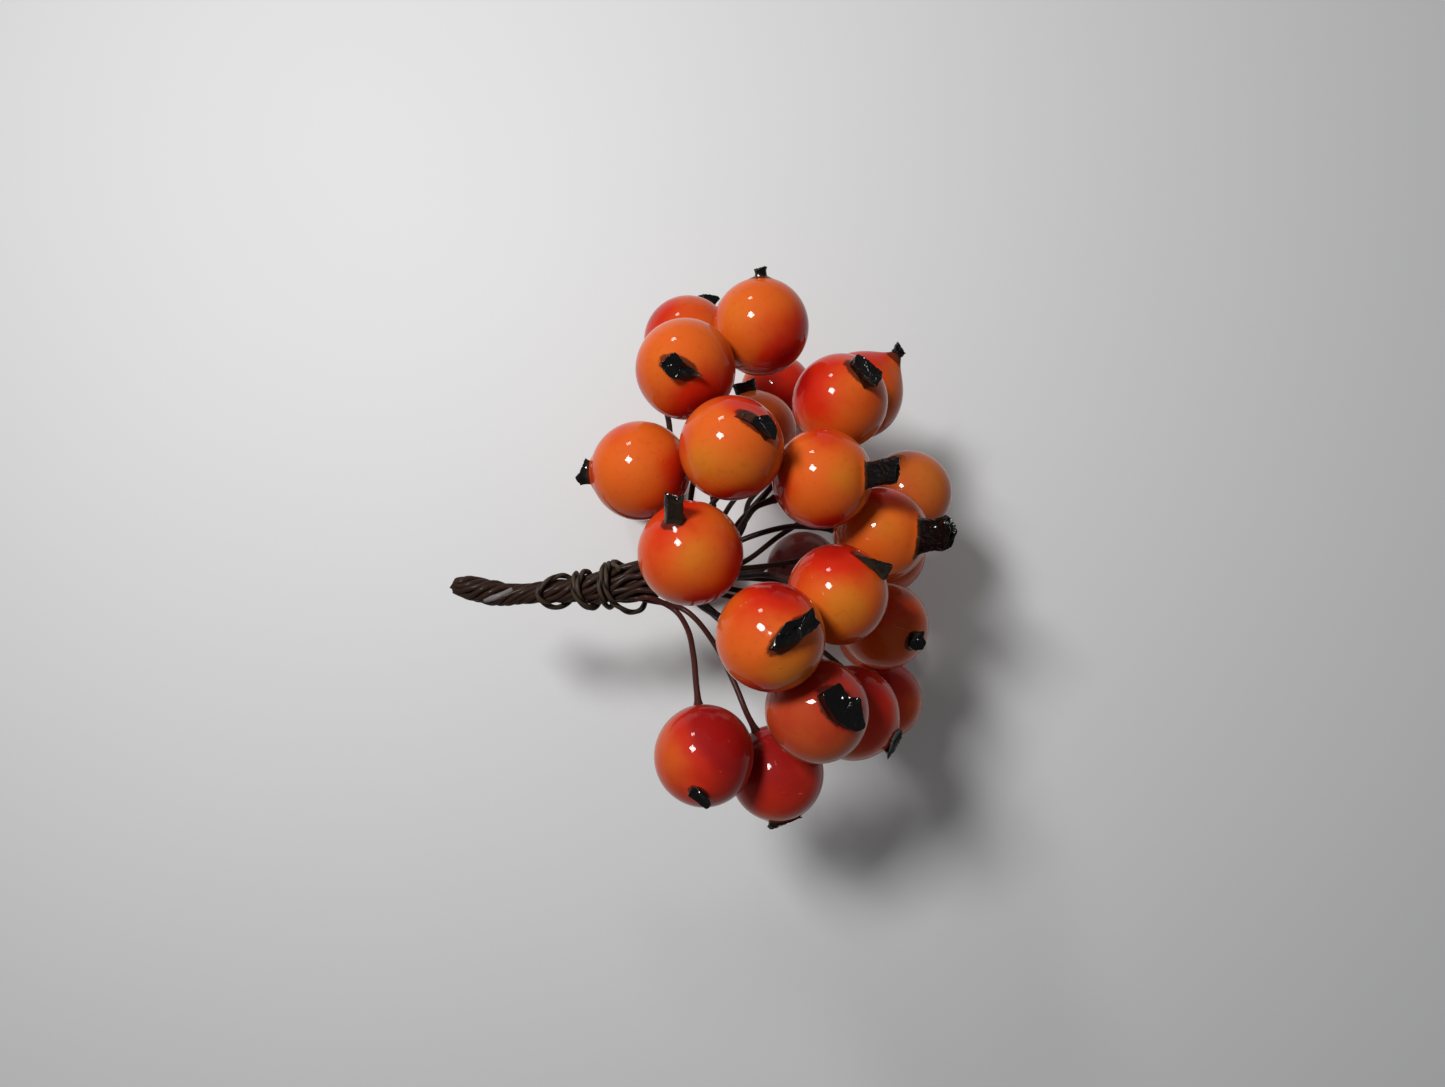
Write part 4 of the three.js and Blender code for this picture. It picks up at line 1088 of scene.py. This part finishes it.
def stem_path(name, slot, radius):
    """One stem, from the fold of the handle to inside its berry."""
    spec = BERRIES[name]
    ring, k, angle = slot
    entry = entry_of(spec)
    at = np.array(spec["at"], float)
    middle, _ = handle_at(MOUTH_X)
    mouth = middle[0] + MOUTH_RINGS[ring][0] * np.array([0, math.cos(angle), math.sin(angle)])
    into = [at + entry * (BERRY_RADIUS + reach) for reach in (2.6, 0.8, -STEM_IN_BERRY)]
    return np.vstack([strand(ring, k, angle, radius), mouth, spec["route"], into])


def folded_pairs(slots):
    """Pairs of stems that are the two halves of one wire, neighbours in the rope's fold."""
    def place(name):
        ring, k, angle = slots[name]
        return ring == 2 and k not in SUNK_STEMS, angle

    order = sorted(slots, key=place)
    return list(zip(order[0::2], order[1::2]))


def fold_tip(first, last, number):
    """End of the loop between two strands: beyond both, farthest where they are innermost."""
    middle, girth = handle_at(FOLD_X)
    offset = (0.5 * (first + last) - middle[0]) * np.array([0, 1, 1])
    share = np.linalg.norm(offset) / girth[0]
    x = FOLD_X - 1.35 + 0.9 * share ** 2 + 0.15 * math.sin(2.4 * number)
    return handle_at(x)[0][0] + offset * (1 - 0.3 * share)


# Operators


class SPRIG_OT_berries(bpy.types.Operator):
    """Make the lacquered balls"""

    bl_idname = "sprig.berries"
    bl_label = "Berries"

    def execute(self, context):
        settings = context.scene.sprig_berries
        material = lacquer_finish(settings)
        for number, (name, spec) in enumerate(BERRIES.items()):
            shell = ball_shell(spec, 40 + number, settings.unevenness / MM)
            piece = make_piece(f"lacquered_berry_{name}", [shell], material)
            hand_over(piece, [f"berry_{name}"])
        return {"FINISHED"}


class SPRIG_OT_tufts(bpy.types.Operator):
    """Make the crepe tufts in the tips of the berries"""

    bl_idname = "sprig.tufts"
    bl_label = "Tufts"

    def execute(self, context):
        settings = context.scene.sprig_tufts
        material = crepe_finish(settings)
        for number, (name, spec) in enumerate(BERRIES.items()):
            shell = tuft_shell(spec, 90 + number, settings.crumple / MM)
            piece = make_piece(f"crepe_tuft_{name}", [shell], material)
            hand_over(piece, [f"tuft_{name}"])
        return {"FINISHED"}


class SPRIG_OT_stems(bpy.types.Operator):
    """Make the folded wires that are the stems and the handle"""

    bl_idname = "sprig.stems"
    bl_label = "Stems"

    def execute(self, context):
        settings = context.scene.sprig_stems
        radius = settings.radius / MM
        slots = mouth_slots()
        shells = []
        for number, (first, last) in enumerate(folded_pairs(slots)):
            halves = [stem_path(name, slots[name], radius + 0.03) for name in (first, last)]
            tip = fold_tip(halves[0][0], halves[1][0], number)
            path = evenly(smooth_path(np.vstack([halves[0][::-1], tip, halves[1]])), STEM_STEP)
            along = way_along(path)
            bound = 1 - smoothstep(-14, -9, path[:, 0])
            flare = sum(np.exp(-(way - STEM_IN_BERRY).clip(0) / FLARE_REACH)
                        for way in (along, along[-1] - along))
            slack = bound * (0.03 + 0.04 * np.sin(1.7 * along + 2.1 * number))
            girth = radius + slack + FLARE * flare
            points, faces, attributes = tube_shell(path, girth[:, None], STEM_SIDES)
            half = along < along[-1] / 2
            red = np.where(half, first in RUSSET_STEMS, last in RUSSET_STEMS) * (1 - bound)
            attributes["worn"] = on_tube(bound, STEM_SIDES)
            attributes["russet"] = on_tube(red.astype(float), STEM_SIDES)
            bare = np.where(half, first == BARE_STEM, last == BARE_STEM)
            bare = bare * smoothstep(*BARE_FROM, path[:, 0]) * smoothstep(*BARE_TO, path[:, 0])
            attributes["pale"] = on_tube(bare, STEM_SIDES)
            shells.append((points, faces, attributes))
        shells.append(core_shell())
        piece = make_piece("covered_stems", shells, cover_finish(settings))
        hand_over(piece, ["stems"])
        return {"FINISHED"}


def core_shell(sides=16):
    """The dark heart of the rope, seen only between strands."""
    x = np.linspace(CORE_FROM_X, MOUTH_X - 0.3, 60)
    path, girth = handle_at(x)
    points, faces, attributes = tube_shell(path, (girth * CORE_SHARE)[:, None], sides)
    zero = on_tube(0 * x, sides)
    attributes.update({"worn": zero, "russet": zero, "pale": zero})
    return points, faces, attributes


def binding_path(radius):
    """Turns round the handle, a smooth curve through x at each quarter turn; then the loose end."""
    quarter = np.arange(len(WIRE_QUARTERS_X))
    way = smooth_path(np.stack([WIRE_QUARTERS_X, quarter, 0 * quarter], axis=-1), 4)
    middle, girth = handle_at(way[:, 0])
    points = middle + round_x(np.pi / 2 * (way[:, 1] - 1), girth + radius + WIRE_GAP)
    return np.vstack([points, WIRE_LOOSE_END])


class SPRIG_OT_binding(bpy.types.Operator):
    """Make the wire that binds the handle"""

    bl_idname = "sprig.binding"
    bl_label = "Binding wire"

    def execute(self, context):
        settings = context.scene.sprig_wire
        radius = settings.radius / MM
        path = evenly(smooth_path(binding_path(radius)), WIRE_STEP)
        along = way_along(path)
        turn = 2 * np.pi * np.arange(WIRE_SIDES)[None, :] / WIRE_SIDES
        ply = 0.5 + 0.5 * np.cos(2 * turn + along[:, None] * PLY_TWIST)
        ends = np.minimum(along, along[-1] - along).clip(0, 0.3) / 0.3
        girth = (radius * (0.86 + 0.16 * ply)) * np.sqrt(0.2 + 0.8 * ends)[:, None]
        shell = tube_shell(path, girth, WIRE_SIDES)
        # ply sets both the wire's girth and where shade is painted between its plies
        shell[2]["ply"] = np.concatenate([[1.0], ply.ravel(), [1.0]])
        piece = make_piece("binding_wire_wound", [shell], wire_finish(settings))
        hand_over(piece, ["binding_wire"])
        return {"FINISHED"}


def soft_box(name, at, aim, size, radiance):
    """A rectangular light of that radiance that faces a point. It isn't seen by the camera."""
    at, aim = np.array(at, float), np.array(aim, float)
    data = bpy.data.lights.new(name, "AREA")
    data.shape = "RECTANGLE"
    data.size, data.size_y = (side * MM for side in size)
    data.energy = radiance * math.pi * data.size * data.size_y
    light = bpy.data.objects.new(name, data)
    bpy.context.scene.collection.objects.link(light)
    light.location = (at + DRAWN_AT) * MM
    light.rotation_euler = Vector(at - aim).to_track_quat("Z", "Y").to_euler()
    light.visible_camera = False


class SPRIG_OT_stage(bpy.types.Operator):
    """Make the floor, the lights and the camera"""

    bl_idname = "sprig.stage"
    bl_label = "Stage"

    def execute(self, context):
        settings = context.scene.sprig_stage
        scene = context.scene
        mesh = bpy.data.meshes.new("floor")
        corners = [(x * FLOOR_REACH_M, y * FLOOR_REACH_M, 0)
                   for x, y in ((-1, -1), (1, -1), (1, 1), (-1, 1))]
        mesh.from_pydata(corners, [], [(0, 1, 2, 3)])
        mesh.materials.append(floor_finish(settings))
        floor = bpy.data.objects.new("floor", mesh)
        scene.collection.objects.link(floor)
        soft_box("key_box", KEY_AT, LIGHTS_AIM, KEY_SIZE, settings.key)
        soft_box("window_box", WINDOW_AT, LIGHTS_AIM, WINDOW_SIZE, settings.window)
        world = bpy.data.worlds.new("room")
        world.use_nodes = True
        background = world.node_tree.nodes["Background"]
        background.inputs["Color"].default_value = ROOM_COLOUR
        background.inputs["Strength"].default_value = settings.air
        scene.world = world
        scene.view_settings.view_transform = "Standard"
        data = bpy.data.cameras.new("camera")
        data.sensor_width = FILM_WIDTH
        data.lens = LENS
        data.clip_start, data.clip_end = CLIP_M
        camera = bpy.data.objects.new("camera", data)
        camera.location = (CAMERA_AT + DRAWN_AT) * MM
        scene.collection.objects.link(camera)
        scene.camera = camera
        return {"FINISHED"}


class SPRIG_PT_panel(bpy.types.Panel):
    """Lists the steps that dress the sprig, and their sizes and colours"""

    bl_label = "Rowan berry sprig"
    bl_idname = "SPRIG_PT_panel"
    bl_space_type = "VIEW_3D"
    bl_region_type = "UI"
    bl_category = "Sprig"

    def draw(self, context):
        for operator, settings in STEPS:
            box = self.layout.box()
            box.operator(operator.bl_idname)
            group = getattr(context.scene, settings)
            for name in group.__annotations__:
                box.prop(group, name)


STEPS = (
    (SPRIG_OT_stage, "sprig_stage"),
    (SPRIG_OT_berries, "sprig_berries"),
    (SPRIG_OT_tufts, "sprig_tufts"),
    (SPRIG_OT_stems, "sprig_stems"),
    (SPRIG_OT_binding, "sprig_wire"),
)
GROUPS = {
    "sprig_stage": StageSettings,
    "sprig_berries": BerrySettings,
    "sprig_tufts": TuftSettings,
    "sprig_stems": StemSettings,
    "sprig_wire": WireSettings,
}


def register():
    for name, group in GROUPS.items():
        bpy.utils.register_class(group)
        setattr(bpy.types.Scene, name, bpy.props.PointerProperty(type=group))
    for operator, _ in STEPS:
        bpy.utils.register_class(operator)
    bpy.utils.register_class(SPRIG_PT_panel)


def unregister():
    bpy.utils.unregister_class(SPRIG_PT_panel)
    for operator, _ in reversed(STEPS):
        bpy.utils.unregister_class(operator)
    for name, group in GROUPS.items():
        delattr(bpy.types.Scene, name)
        bpy.utils.unregister_class(group)


def main():
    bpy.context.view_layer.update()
    register()
    for operator, _ in STEPS:
        group, name = operator.bl_idname.split(".")
        getattr(getattr(bpy.ops, group), name)()


if __name__ == "__main__":
    main()
